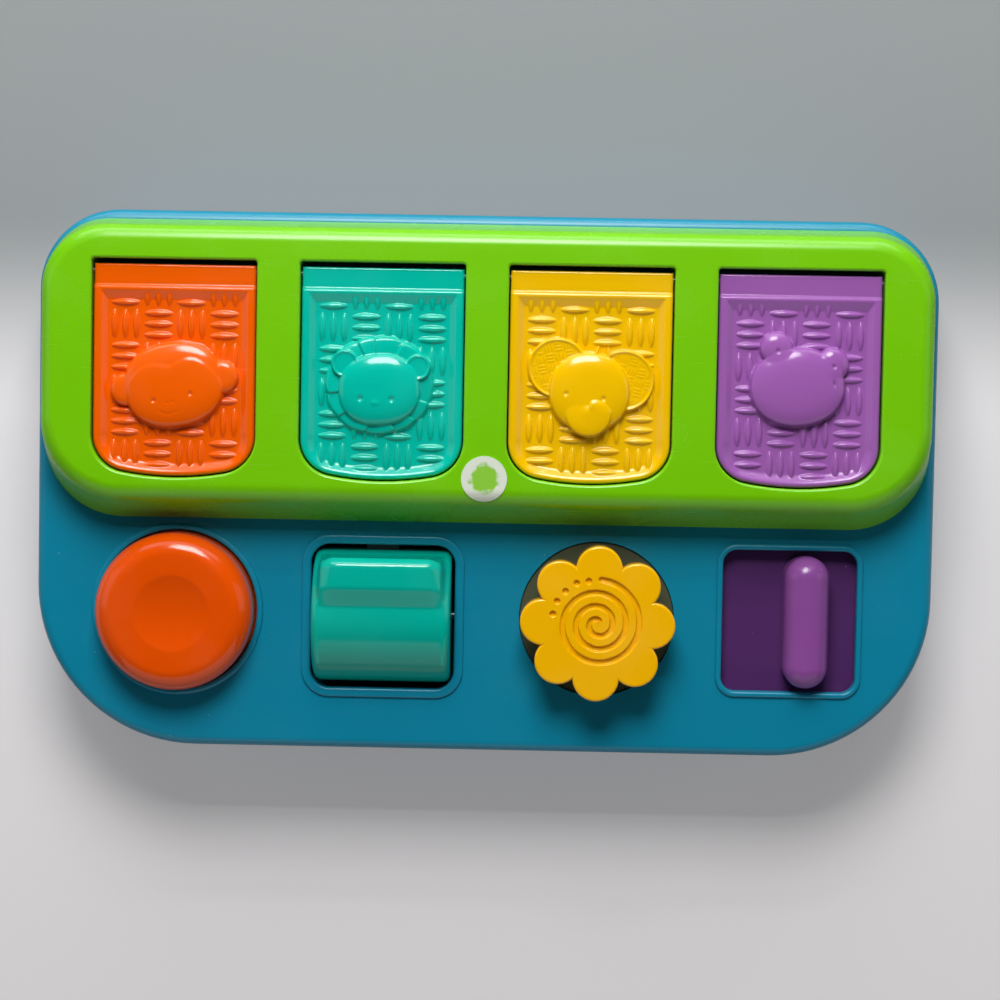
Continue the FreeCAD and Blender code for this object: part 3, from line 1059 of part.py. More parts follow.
def knob_bridge():
    """A strap across the knob, under the deck, in which its shaft turns."""
    body = new_body("bridge")
    strap = new_sketch(body, "bridge_lines", offset="dims.bridge_bottom")
    reach = "(dims.bridge_reach + dims.small_boss_radius)"
    rectangle(strap, f"0 - {reach}", reach, "0 - dims.bridge_half_width", "dims.bridge_half_width")
    pad(body, "strap", strap, "dims.bridge_top - dims.bridge_bottom")
    holes = new_sketch(body, "bridge_hole_lines", offset="dims.bridge_bottom")
    circle(holes, "0", "0", "dims.knob_shaft_radius + dims.axle_clearance")
    circle(holes, "dims.bridge_reach", "0", "dims.bridge_screw_hole")
    circle(holes, "0 - dims.bridge_reach", "0", "dims.bridge_screw_hole")
    pocket(body, "bridge_holes", holes, "dims.bridge_top - dims.bridge_bottom", up=True)
    body.Placement = Placement(Vector(), Rotation(Vector(0, 0, 1), -number("dims.bridge_angle")))
    place(body, "dims.knob_x", "dims.knob_y")
    return keep("knob_bridge", body)


# ---- slider ----

def slider_grip():
    body = new_body("grip")
    outline = new_sketch(body, "grip_lines", offset="dims.slide_plate_top")
    window(outline, "0", "0", "dims.grip_half_width", "dims.grip_half_length",
           "(dims.grip_half_width - dims.overlap)")
    pad(body, "grip_bar", outline, "dims.grip_top - dims.slide_plate_top")
    top_z = number("dims.grip_top")
    round_edges(body, "grip_rounding", "dims.grip_round", lambda edge: flat_at(edge, top_z))
    place(body, "dims.grip_x", "dims.slide_y")
    return keep("slider_grip", body)


def slider_plate():
    """The sheet fills the window at both ends of the stroke; one corner clears the case's."""
    plate = new_body("slide_sheet")
    outline = new_sketch(plate, "slide_sheet_lines", offset="dims.slide_plate_bottom")
    front = "(dims.slide_y - dims.slide_plate_half_y)"
    back = "(dims.slide_y + dims.slide_plate_half_y)"
    polygon(outline, [("dims.slide_plate_left", front),
                      ("dims.slide_plate_right - dims.slide_plate_corner", front),
                      ("dims.slide_plate_right", f"{front} + dims.slide_plate_corner"),
                      ("dims.slide_plate_right", back), ("dims.slide_plate_left", back)])
    pad(plate, "slide_sheet_pad", outline, "dims.slide_plate_top - dims.slide_plate_bottom")
    pin = upright("cam_pin", "dims.grip_x", "dims.slide_y", "dims.cam_pin_radius",
                  "dims.cam_pin_end", "dims.slide_plate_bottom + dims.overlap")
    return keep("slider_plate", union("slide_plate_set", plate, pin))


def slide_keepers():
    """Straps under the slider plate's long edges."""
    inner = "(dims.slide_plate_half_y + dims.slide_rail_gap + dims.slide_rail_width)"
    straps = []
    for i, (front, back) in enumerate(((f"- {inner}", f"- {inner} + dims.slide_keeper_width"),
                                       (f"+ {inner} - dims.slide_keeper_width", f"+ {inner}"))):
        straps.append(box(f"slide_keeper_{i}", ("dims.slide_rail_left", "dims.slide_rail_right"),
                          (f"dims.slide_y {front}", f"dims.slide_y {back}"),
                          ("dims.slide_plate_bottom - dims.slide_rail_gap - dims.slide_keeper_height",
                           "dims.slide_plate_bottom - dims.slide_rail_gap")))
    return keep("slide_keepers", union("slide_keeper_set", *straps))


# ---- assembly ----

upper_housing()
bottom_cover()
rubber_feet()
frame_block = door_frame()
doc.recompute()
round_label(frame_block)
for index, animal in enumerate(LID_NAMES):
    lid(index, animal)
    hinge_pin(index, animal)
    figure(index, animal)
    lid_spring(index, animal)
button_latch()
rocker_latch()
knob_latch()
slider_latch()
latch_keepers()
for index, control in enumerate(("button", "rocker", "knob", "slider")):
    latch_spring(index, f"{control}_latch")
push_button()
button_spring()
rocker_switch()
rocker_axle()
rocker_spring()
flower_knob()
knob_disc()
knob_bridge()
slider_grip()
slider_plate()
slide_keepers()
screws("case_screws", CASE_BOSSES, "dims.case_head_radius", "dims.case_head_low", "dims.base_z",
       "dims.pilot_radius", "dims.base_z + dims.case_screw_length")
screws("frame_screws", FRAME_BOSSES, "dims.frame_head_radius",
       "dims.deck_z - dims.wall - dims.frame_head_height", "dims.deck_z - dims.wall",
       "dims.pilot_radius", "dims.deck_z + dims.frame_screw_depth - 1")
screws("bridge_screws", BRIDGE_ENDS, "dims.bridge_head_radius",
       "dims.bridge_bottom - dims.bridge_head_height", "dims.bridge_bottom",
       "dims.small_pilot_radius", "dims.bridge_top + dims.bridge_screw_depth - 0.5")
screws("knob_screw", [("dims.knob_x", "dims.knob_y")], "dims.knob_head_radius",
       "dims.knob_shaft_end - dims.bridge_head_height", "dims.knob_shaft_end",
       "dims.pilot_radius", "dims.knob_shaft_end + dims.knob_screw_depth - 1")

doc.recompute()
for obj in doc.Objects:
    assert not {"Invalid", "Error"} & set(obj.State), f"{obj.Label}: {obj.State}"
for obj in sub_parts:
    assert not obj.Shape.isNull() and obj.Shape.isValid(), obj.Label
    assert obj.Shape.Volume > 0, obj.Label

os.makedirs("parts", exist_ok=True)
for obj in sub_parts:
    obj.Shape.exportStep(f"parts/{obj.Label}.step")
    print(obj.Label, len(obj.Shape.Solids), round(obj.Shape.Volume))
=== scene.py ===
import math

import bpy
import numpy as np
from mathutils import Matrix, Vector


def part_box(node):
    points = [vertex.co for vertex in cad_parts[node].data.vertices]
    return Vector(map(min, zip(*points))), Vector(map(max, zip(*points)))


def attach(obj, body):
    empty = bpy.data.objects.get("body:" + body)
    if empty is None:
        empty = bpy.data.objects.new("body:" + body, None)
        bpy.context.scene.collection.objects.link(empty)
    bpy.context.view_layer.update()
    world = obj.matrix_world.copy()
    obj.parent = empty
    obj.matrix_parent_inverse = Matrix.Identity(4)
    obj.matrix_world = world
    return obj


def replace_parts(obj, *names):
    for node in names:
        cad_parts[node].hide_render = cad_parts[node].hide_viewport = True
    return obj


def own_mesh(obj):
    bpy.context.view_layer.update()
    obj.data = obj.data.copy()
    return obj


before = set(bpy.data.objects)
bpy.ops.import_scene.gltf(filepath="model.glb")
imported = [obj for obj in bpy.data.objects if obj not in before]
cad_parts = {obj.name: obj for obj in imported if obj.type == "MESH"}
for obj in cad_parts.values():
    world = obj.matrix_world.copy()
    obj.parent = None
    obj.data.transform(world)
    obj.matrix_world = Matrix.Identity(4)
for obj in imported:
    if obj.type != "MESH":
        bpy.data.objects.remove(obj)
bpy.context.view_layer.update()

# A pop up animal toy: four moulded lids in a green frame on a blue case, and a button, a rocker,
# a flower knob and a slider in front of them. Lengths are in millimetres until a mesh is made,
# and in metres on the stage. Frame: +X along the row of lids, +Y towards the lid hinges, +Z up.

MM = 0.001

ANIMALS = ("monkey", "lion", "elephant", "hippo")
LID_PITCH = 63.6
LID_X = {animal: (i - 1.5) * LID_PITCH for i, animal in enumerate(ANIMALS)}

# the lid's outline and levels
LID_HALF_WIDTH = 24.7
LID_FRONT_Y = 1.7
LID_BACK_Y = 66.3
LID_LENGTH = LID_BACK_Y - LID_FRONT_Y
LID_BOW_RADIUS = 85.0
LID_CORNER = 11.0
LID_BOTTOM_Z = 50.5
LID_FLOOR_Z = 53.0
LID_STRIP_Z = 53.7
LID_RIM_Z = 54.5
LID_GRID = 0.25
HINGE_Y, HINGE_Z = 64.2, 51.3

FLOWER_X, FLOWER_Y = 35.6, -41.4
LABEL_Y, LABEL_WORN_RADIUS = 2.6, 4.8

# The colours of the toy and its stage, as sRGB bytes; dust and tarnish are linear.
COLOURS = {
    "case_blue": (0, 132, 163),
    "frame_green": (114, 194, 0),
    "orange": (240, 94, 2),
    "button_orange": (228, 79, 1),
    "teal": (2, 184, 163),
    "rocker_teal": (2, 173, 153),
    "yellow": (238, 186, 0),
    "knob_yellow": (243, 180, 0),
    "purple": (154, 92, 169),
    "slider_purple": (140, 76, 153),
    # painted shade: the slider plate is the grip's purple, darkened for the shade it lies in under the
    # slot
    "plate_purple_painted_shade": (82, 37, 101),
    # painted shade: the knob disc is given the dark olive it shows in the shade under the flower
    "disc_olive": (72, 76, 52),
    "figure_cream": (240, 226, 196),
    "figure_ink": (46, 30, 24),
    "latch_black": (44, 46, 50),
    "foot_grey": (58, 60, 62),
    "spring_grey": (170, 172, 176),
    # painted shade: the pins' steel is made dark so their ends, which show in the lids' gaps, give no
    # glint
    "pin_grey_painted_shade": (74, 76, 80),
    "zinc_grey": (168, 170, 172),
    "label_cream": (216, 222, 206),
    "label_green": (134, 196, 52),
    "floor_pale": (206, 203, 204),
    # painted shade: the floor's grey far behind the toy, where the light falls off
    "floor_painted_shade_grey": (128, 132, 133),
}
DUST = (0.72, 0.72, 0.68, 1.0)
TARNISH = (0.22, 0.21, 0.20, 1.0)


def linear(colour):
    """A named colour as the linear colour a shader takes."""
    values = []
    for byte in COLOURS[colour]:
        c = byte / 255
        values.append(c / 12.92 if c <= 0.04045 else ((c + 0.055) / 1.055) ** 2.4)
    return (*values, 1.0)


# ---- node trees ----

def put(tree, kind, inputs=None, **settings):
    """Adds a node; an input is a number, a colour or the socket it is joined to."""
    node = tree.nodes.new(kind)
    for key, value in settings.items():
        setattr(node, key, value)
    for key, value in (inputs or {}).items():
        if isinstance(value, bpy.types.NodeSocket):
            tree.links.new(value, node.inputs[key])
        else:
            node.inputs[key].default_value = value
    return node


def maths(tree, operation, a, b=0.0, clamp=False):
    node = put(tree, "ShaderNodeMath", {0: a, 1: b}, operation=operation, use_clamp=clamp)
    return node.outputs[0]


def band(tree, value, low, high, out_low=0.0, out_high=1.0):
    """A value mapped from one range to another and held inside it."""
    node = put(tree, "ShaderNodeMapRange", {0: value, 1: low, 2: high, 3: out_low, 4: out_high})
    return node.outputs[0]


def noise(tree, vector, scale, detail=2.0, roughness=0.5):
    node = put(tree, "ShaderNodeTexNoise",
               {"Vector": vector, "Scale": scale, "Detail": detail, "Roughness": roughness})
    return node.outputs[0]


def mixed(tree, factor, a, b):
    """The first colour where the factor is 0 and the second where it is 1."""
    return put(tree, "ShaderNodeMix", {0: factor, 6: a, 7: b}, data_type="RGBA").outputs[2]


def new_group(name, inputs, outputs, tree_kind="ShaderNodeTree"):
    """A node group with named sockets, as (tree, its input sockets, its output node)."""
    tree = bpy.data.node_groups.new(name, tree_kind)
    for label, kind, default in inputs:
        socket = tree.interface.new_socket(label, in_out="INPUT", socket_type=kind)
        if default is not None:
            socket.default_value = default
    for label, kind in outputs:
        tree.interface.new_socket(label, in_out="OUTPUT", socket_type=kind)
    source = tree.nodes.new("NodeGroupInput").outputs
    sink = tree.nodes.new("NodeGroupOutput")
    return tree, source, sink


SURFACE_OUTPUTS = (("Colour", "NodeSocketColor"), ("Roughness", "NodeSocketFloat"),
                   ("Height", "NodeSocketFloat"))


def moulded_skin_group():
    """The skin of a moulding: cloudy shade, dust specks, hairline scratches and a fine grain."""
    tree, given, out = new_group(
        "moulded skin",
        [("Colour", "NodeSocketColor", (0.5, 0.5, 0.5, 1.0)),
         ("Shade change", "NodeSocketFloat", 0.06),
         ("Specks", "NodeSocketFloat", 0.3), ("Scratches", "NodeSocketFloat", 0.3),
         ("Grain", "NodeSocketFloat", 0.2), ("Roughness", "NodeSocketFloat", 0.3)],
        SURFACE_OUTPUTS)
    place = put(tree, "ShaderNodeTexCoord").outputs["Object"]

    # cloudy shade: where the plastic is lighter it is also a little paler
    cloud = noise(tree, place, 38.0, detail=3.0)
    change = maths(tree, "MULTIPLY", maths(tree, "SUBTRACT", cloud, 0.5), given["Shade change"])
    brighter = maths(tree, "ADD", 1.0, maths(tree, "MULTIPLY", change, 2.0))
    paler = maths(tree, "SUBTRACT", 1.0, change)
    shade = put(tree, "ShaderNodeHueSaturation",
                {"Color": given["Colour"], "Value": brighter, "Saturation": paler}).outputs[0]

    # dust: a dot in the middle of a few of the cells
    cells = put(tree, "ShaderNodeTexVoronoi", {"Vector": place, "Scale": 420.0, "Randomness": 1.0})
    rare = band(tree, cells.outputs["Color"], 0.90, 0.94)
    dot = band(tree, cells.outputs["Distance"], 0.10, 0.05)
    speck = maths(tree, "MULTIPLY", maths(tree, "MULTIPLY", rare, dot), given["Specks"], clamp=True)
    dusty = mixed(tree, maths(tree, "MULTIPLY", speck, 0.6), shade, DUST)

    # scratches: noise drawn out along one slanting direction, in patches
    drawn = put(tree, "ShaderNodeMapping", {"Vector": place, "Rotation": (0.3, 0.2, 0.65),
                                            "Scale": (60.0, 1500.0, 300.0)}).outputs[0]
    streak = band(tree, noise(tree, drawn, 1.0, detail=1.0), 0.70, 0.80)
    patch = band(tree, noise(tree, place, 55.0), 0.48, 0.62)
    scratch = maths(tree, "MULTIPLY", maths(tree, "MULTIPLY", streak, patch), given["Scratches"])

    # the mould's grain, and how dull each of these leaves the surface
    fine = noise(tree, place, 2600.0, detail=2.0)
    peel = noise(tree, place, 420.0, detail=1.0)
    grain = maths(tree, "MULTIPLY", maths(tree, "ADD", fine, maths(tree, "MULTIPLY", peel, 0.6)),
                  given["Grain"])
    height = maths(tree, "SUBTRACT", grain, maths(tree, "MULTIPLY", scratch, 0.5))
    rough = maths(tree, "ADD", given["Roughness"], maths(tree, "MULTIPLY", scratch, 0.35))
    rough = maths(tree, "ADD", rough, maths(tree, "MULTIPLY", change, 1.2))
    rough = maths(tree, "ADD", rough, maths(tree, "MULTIPLY", speck, 0.4), clamp=True)

    tree.links.new(dusty, out.inputs["Colour"])
    tree.links.new(rough, out.inputs["Roughness"])
    tree.links.new(height, out.inputs["Height"])
    return tree


def worn_metal_group():
    """Drawn or plated steel: fine lines along one axis and dull patches."""
    tree, given, out = new_group(
        "worn metal",
        [("Colour", "NodeSocketColor", (0.6, 0.6, 0.6, 1.0)), ("Dullness", "NodeSocketFloat", 0.4)],
        SURFACE_OUTPUTS)
    place = put(tree, "ShaderNodeTexCoord").outputs["Object"]
    drawn = put(tree, "ShaderNodeMapping",
                {"Vector": place, "Scale": (300.0, 4000.0, 4000.0)}).outputs[0]
    lines = noise(tree, drawn, 1.0, detail=3.0)
    patches = band(tree, noise(tree, place, 160.0, detail=4.0), 0.4, 0.7)
    dull = maths(tree, "MULTIPLY", patches, given["Dullness"])
    colour = mixed(tree, dull, given["Colour"], TARNISH)
    rough = maths(tree, "ADD", maths(tree, "ADD", 0.22, maths(tree, "MULTIPLY", lines, 0.2)),
                  maths(tree, "MULTIPLY", dull, 0.4), clamp=True)
    tree.links.new(colour, out.inputs["Colour"])
    tree.links.new(rough, out.inputs["Roughness"])
    tree.links.new(lines, out.inputs["Height"])
    return tree


MOULDED_SKIN = moulded_skin_group()
WORN_METAL = worn_metal_group()
PLASTIC_IOR = 1.5
GRAIN_LIFT = 0.05 * MM
FILM_LIFT = 0.1 * MM


def new_material(name):
    """A material with only its surface shader, as (material, tree, shader)."""
    material = bpy.data.materials.new(name)
    material.use_nodes = True
    tree = material.node_tree
    shader = tree.nodes["Principled BSDF"]
    return material, tree, shader


def finish_surface(tree, shader, colour, roughness, height, bump, lift=GRAIN_LIFT):
    """Joins a colour, a roughness and a height to the shader."""
    tree.links.new(colour, shader.inputs["Base Color"])
    tree.links.new(roughness, shader.inputs["Roughness"])
    relief = put(tree, "ShaderNodeBump", {"Strength": bump, "Distance": lift, "Height": height})
    tree.links.new(relief.outputs[0], shader.inputs["Normal"])


def moulded_skin(tree, colour, roughness, shade_change=0.05, specks=0.5, scratches=0.5, grain=0.15):
    """Places the moulded skin with its own values, and gives its colour, roughness and height."""
    skin = put(tree, "ShaderNodeGroup",
               {"Colour": linear(colour), "Shade change": shade_change, "Specks": specks,
                "Scratches": scratches, "Grain": grain, "Roughness": roughness},
               node_tree=MOULDED_SKIN)
    return skin.outputs["Colour"], skin.outputs["Roughness"], skin.outputs["Height"]


def plastic(name, colour, roughness=0.14, bump=0.5, **skin):
    """Glossy moulded plastic in one colour."""
    material, tree, shader = new_material(name)
    finish_surface(tree, shader, *moulded_skin(tree, colour, roughness, **skin), bump)
    shader.inputs["IOR"].default_value = PLASTIC_IOR
    return material


def steel(name, colour, dullness):
    """Bare or plated steel."""
    material, tree, shader = new_material(name)
    metal = put(tree, "ShaderNodeGroup", {"Colour": linear(colour), "Dullness": dullness},
                node_tree=WORN_METAL).outputs
    finish_surface(tree, shader, metal["Colour"], metal["Roughness"], metal["Height"], 0.3)
    shader.inputs["Metallic"].default_value = 1.0
    return material


def rubber(name):
    """Dull, dusty rubber with a coarse grain."""
    material, tree, shader = new_material(name)
    skin = moulded_skin(tree, "foot_grey", 0.75, shade_change=0.12, specks=0.8, scratches=0.2,
                        grain=0.8)
    finish_surface(tree, shader, *skin, 0.8)
    return material


def worn_label(name):
    """Plain pale film on the frame, rubbed through to green in a ragged patch in its middle."""
    material, tree, shader = new_material(name)
    place = put(tree, "ShaderNodeTexCoord").outputs["Object"]
    parts = put(tree, "ShaderNodeSeparateXYZ", {0: place})
    from_middle = maths(tree, "SUBTRACT", parts.outputs[1], LABEL_Y * MM)
    across = maths(tree, "DIVIDE", parts.outputs[0], LABEL_WORN_RADIUS * MM)
    along = maths(tree, "DIVIDE", from_middle, LABEL_WORN_RADIUS * MM)
    spread = maths(tree, "SQRT", maths(tree, "ADD", maths(tree, "MULTIPLY", across, across),
                                       maths(tree, "MULTIPLY", along, along)))
    rough_edge = maths(tree, "MULTIPLY", noise(tree, place, 420.0, detail=4.0), 0.9)
    worn = band(tree, maths(tree, "ADD", spread, rough_edge), 1.42, 1.22)
    film, roughness, grain = moulded_skin(tree, "label_cream", 0.42, specks=0.6, scratches=0.6,
                                          grain=0.3)
    colour = mixed(tree, worn, film, linear("label_green"))
    finish_surface(tree, shader, colour, roughness, maths(tree, "SUBTRACT", grain, worn), 0.6,
                   lift=FILM_LIFT)
    return material


def painted_figure(name, colour):
    """Cream plastic whose raised head is sprayed in the lid's colour and whose eyes are inked."""
    material, tree, shader = new_material(name)
    raised = put(tree, "ShaderNodeAttribute", attribute_name="raised").outputs["Fac"]
    ink = put(tree, "ShaderNodeAttribute", attribute_name="ink").outputs["Fac"]
    cream, roughness, grain = moulded_skin(tree, "figure_cream", 0.34, specks=0.4, scratches=0.3,
                                           grain=0.2)
    paint = mixed(tree, raised, cream, linear(colour))
    inked = mixed(tree, ink, paint, linear("figure_ink"))
    finish_surface(tree, shader, inked, roughness, grain, 0.5)
    return material


# ---- heights ----

def smooth(value):
    """0 below 0, 1 above 1 and an even S between."""
    t = np.clip(value, 0.0, 1.0)
    return t * t * (3 - 2 * t)


def rounding(depth, radius):
    """How far a rounded edge has dropped at a distance in from it."""
    t = 1 - np.clip(depth / radius, 0.0, 1.0)
    return radius * (1 - np.sqrt(np.clip(1 - t * t, 0.0, 1.0)))


def leaning_axes(x, b, across, below, lean):
    """Coordinates from a point, along axes that lean by an angle in degrees."""
    c, s = math.cos(math.radians(lean)), math.sin(math.radians(lean))
    return (x - across) * c - (b - below) * s, (x - across) * s + (b - below) * c


def oval(x, b, across, below, half_x, half_b, lean=0.0, power=2.0):
    """Distance from an oval's middle as a share of its reach; a higher power squares it off."""
    u, v = leaning_axes(x, b, across, below, lean)
    return (np.abs(u / half_x) ** power + np.abs(v / half_b) ** power) ** (1 / power)


def pad(r, height, power=3.2):
    """A raised pad: a steep side that runs into a shallow dome."""
    dome = np.sqrt(np.clip(1 - r ** power, 0.0, 1.0))
    return height * (0.4 * smooth((1 - r) / 0.06) + 0.6 * dome)


def merged(a, b, blend):
    """The higher of two raised forms, with a soft valley where they meet."""
    near = np.clip(1 - np.abs(a - b) / blend, 0.0, 1.0)
    return np.maximum(a, b) + 0.25 * blend * near ** 2 * smooth(np.minimum(a, b) / 0.6)


EAR_WALL, EAR_RIM_INSET, EAR_RIM_WIDTH = 0.35, 0.5, 0.42


def rimmed_disc(x, b, across, below, radius, height, rim):
    """A flat round ear with a thin raised rim, and each point's share of its radius."""
    r = oval(x, b, across, below, radius, radius)
    line = rim * np.exp(-((r - 1 + EAR_RIM_INSET / radius) * radius / EAR_RIM_WIDTH) ** 2)
    return (height * smooth((1 - r) * radius / EAR_WALL) + line) * (r < 1), r


def pits(x, b, places, radius, depth):
    """The depth of small round hollows, such as a pair of eyes."""
    total = 0
    for across, below in places:
        r = np.hypot(x - across, b - below) / radius
        total = total + depth * np.exp(-(r * r) * 1.6)
    return total


# the basket weave: blocks of three raised grains
WEAVE_PITCH, WEAVE_ROW_PITCH, WEAVE_FIRST_ROW = 10.07, 9.93, 8.4
GRAIN_PITCH, GRAIN_HALF_LENGTH, GRAIN_HALF_WIDTH = 3.35, 4.3, 1.0


def basket_weave(x, b, upright_first, scale=1.0, height=1.0):
    """Blocks of three raised grains, laid lengthwise and crosswise by turns."""
    pitch, row_pitch, first_row = WEAVE_PITCH * scale, WEAVE_ROW_PITCH * scale, WEAVE_FIRST_ROW * scale
    grain_pitch = GRAIN_PITCH * scale
    column = np.round(x / pitch + 0.5) - 0.5
    row = np.round((b - first_row) / row_pitch)
    u = x - column * pitch
    v = b - first_row - row * row_pitch
    odd = np.mod(column + 0.5 + row + (0 if upright_first else 1), 2) > 0.5
    along = np.where(odd, v, u)
    across = np.where(odd, u, v)
    across = across - np.clip(np.round(across / grain_pitch), -1, 1) * grain_pitch
    taper = np.clip(1 - (along / (GRAIN_HALF_LENGTH * scale)) ** 2, 0.0, 1.0)
    width = GRAIN_HALF_WIDTH * scale * taper ** 0.62 + 1e-6
    body = np.clip(1 - (across / width) ** 2, 0.0, 1.0)
    return height * np.sqrt(body) * taper ** 0.45


# ---- heads ----

# Each animal's head is a height above the lid's floor, drawn at (across, below the hinge edge).

def monkey_head(x, b):
    """A wide head with a lobed hair line, round ears, eyes, nostrils and a faint smile."""
    height = np.zeros_like(x)
    for across, below in ((-14.4, 38.4), (14.7, 34.1)):
        ear = oval(x, b, across, below, half_x=5.1, half_b=5.1)
        height = np.maximum(height, pad(ear, height=3.0, power=4.0))
    head = oval(x, b, 0.1, 36.8, half_x=15.7, half_b=13.1, lean=9, power=2.25)
    height = np.maximum(height, pad(head, height=4.5))
    # the hair line: two lobes that meet in a shallow, rounded notch
    left_lobe = 29.9 + np.where(x < -6.2, 0.10, 0.02) * (x + 6.2) ** 2
    right_lobe = 27.9 + 0.075 * (x - 5.2) ** 2
    hair_line = -np.logaddexp(-3 * left_lobe, -3 * right_lobe) / 3
    height = height + 0.2 * smooth((b - hair_line) / 1.7) * smooth((1 - head) / 0.12)
    height = height - pits(x, b, ((-5.7, 41.6), (5.5, 39.3)), radius=0.7, depth=0.5)
    height = height - pits(x, b, ((-1.6, 42.2), (0.2, 41.9)), radius=0.5, depth=0.14)
    smile = oval(x, b, -1.2, 43.0, half_x=3.2, half_b=2.6, lean=7)
    return height - 0.09 * np.exp(-((smile - 1) / 0.12) ** 2) * smooth((b - 44.2) / 0.8)


MANE_X, MANE_B = -0.75, 36.3
MANE_SEAMS = (-172.6, -143.0, -105.7, -70.7, -42.5, -17.0, 26.0, 62.0, 96.0, 116.0, 157.0)


def lion_head(x, b):
    """A head with rimmed ears on a mane of overlapping locks, from one seam's angle to the next."""
    angle = np.degrees(np.arctan2(MANE_B - b, x - MANE_X))
    lock = np.zeros_like(x)
    for start, end in zip(MANE_SEAMS, MANE_SEAMS[1:] + (MANE_SEAMS[0] + 360,)):
        for lap in (0, 360):
            inside = (angle + lap >= start) & (angle + lap < end)
            lock = np.where(inside, (angle + lap - start) / (end - start), lock)
    scallop = 0.965 + 0.035 * np.clip(4 * lock * (1 - lock), 0, 1) ** 0.5
    mane = oval(x, b, -0.75, 35.8, half_x=17.0, half_b=15.3, lean=5, power=2.1) / scallop
    overlap = np.where(mane < 1, 0.75 * lock * smooth((1 - mane) / 0.08), 0)
    height = pad(mane, height=1.8, power=8.0) + overlap
    for across, below, radius in ((-11.3, 29.3, 4.3), (11.1, 30.1, 4.0)):
        ear, r = rimmed_disc(x, b, across, below, radius, height=3.1, rim=0.4)
        height = np.where(r < 1, np.maximum(height, ear), height)
    head = oval(x, b, -0.7, 37.0, half_x=13.0, half_b=11.2, lean=5, power=2.25)
    height = np.maximum(height, pad(head, height=4.9))
    height = height - pits(x, b, ((-6.3, 39.8), (3.2, 39.9)), radius=0.8, depth=0.7)
    nose = oval(x, b, -1.9, 41.1, half_x=1.3, half_b=0.75)
    return height + 0.22 * np.exp(-nose ** 2 * 1.2)


EAR_WEAVE_SCALE, EAR_WEAVE_HEIGHT = 0.30, 0.13
TUFT_TOP_B, TUFT_LENGTH, TUFT_HALF_WIDTH, TUFT_HEIGHT = 22.4, 4.0, 1.15, 2.6
TRUNK_X, TRUNK_B, TRUNK_RADIUS = -0.4, 43.0, 7.5
TRUNK_ROOT_HEIGHT, TRUNK_RISE = 4.1, 0.9
# the trunk's tip: its direction in degrees, and the part of the turn over which it curls inward
TRUNK_TIP_ANGLE, TRUNK_TIP_SHARE, TRUNK_CURL = 95, 0.258, 0.55


def elephant_trunk(x, b):
    """A trunk that leaves the face level, winds round once and ends in a raised tip."""
    trunk = oval(x, b, TRUNK_X, TRUNK_B, TRUNK_RADIUS, TRUNK_RADIUS)
    angle = np.degrees(np.arctan2(TRUNK_B - b, x - TRUNK_X))
    wound = np.mod(angle - TRUNK_TIP_ANGLE, 360) / 360
    edge = 1 - TRUNK_CURL * np.clip((wound - 1 + TRUNK_TIP_SHARE) / TRUNK_TIP_SHARE, 0, 1)
    climb = wound * smooth((1 - wound) / 0.06)
    level = TRUNK_ROOT_HEIGHT + TRUNK_RISE * (0.6 + (climb - 0.6) * smooth(trunk / 0.45))
    reach = trunk / edge
    dome = np.sqrt(np.clip(1 - reach ** 3, 0, 1))
    return level * (0.75 * smooth((1 - reach) / 0.09) + 0.25 * dome)


def elephant_head(x, b):
    """A head with two woven ears, a tuft of hair, eyes and a curled trunk."""
    height = np.zeros_like(x)
    for across, below, radius, lean in ((-10.0, 29.5, 9.2, 12), (10.3, 33.0, 9.35, -14)):
        ear, r = rimmed_disc(x, b, across, below, radius, height=1.5, rim=0.45)
        u, v = leaning_axes(x, b, across, below, lean)
        weave = basket_weave(u, v, True, EAR_WEAVE_SCALE, EAR_WEAVE_HEIGHT)
        ear = ear + weave * smooth((0.86 - r) / 0.06)
        height = np.where(r < 1, np.maximum(height, ear), height)
    for across, lean in ((2.0, -0.25), (5.3, 0.1)):
        tip = np.clip((b - TUFT_TOP_B) / TUFT_LENGTH, 0, 1)
        off = np.abs(x - across - lean * (b - 24))
        tuft = np.clip(1 - off / (TUFT_HALF_WIDTH * tip + 1e-6), 0, 1)
        height = np.maximum(height, TUFT_HEIGHT * tuft ** 0.6 * (tip > 0) * (b < 30))
    head = oval(x, b, -0.2, 36.7, half_x=12.7, half_b=12.2, power=2.1)
    height = np.maximum(height, pad(head, height=4.2))
    height = height - pits(x, b, ((-7.3, 37.2), (4.1, 38.6)), radius=0.75, depth=0.5)
    return np.maximum(height, elephant_trunk(x, b))


def hippo_head(x, b):
    """A domed head that runs into two round ears, with a slit of an eye at its side."""
    head = oval(x, b, -0.6, 34.0, half_x=14.8, half_b=12.2, lean=4, power=2.1)
    height = pad(head, height=4.9, power=2.8)
    for across, below in ((-7.2, 22.5), (9.9, 27.0)):
        ear = oval(x, b, across, below, half_x=5.2, half_b=5.2)
        height = merged(height, pad(ear, height=3.9, power=2.6), blend=1.2)
        height = height - pits(x, b, ((across + 0.3, below + 0.6),), radius=0.7, depth=0.6)
    eye = oval(x, b, 10.4, 32.9, half_x=0.35, half_b=1.0, lean=10)
    return height - 0.6 * np.exp(-eye ** 2)


HEADS = {"monkey": monkey_head, "lion": lion_head, "elephant": elephant_head, "hippo": hippo_head}


# ---- meshes ----

def add_object(name, data):
    """A mesh, lamp or camera as an object in the scene."""
    obj = bpy.data.objects.new(name, data)
    bpy.context.scene.collection.objects.link(obj)
    return obj


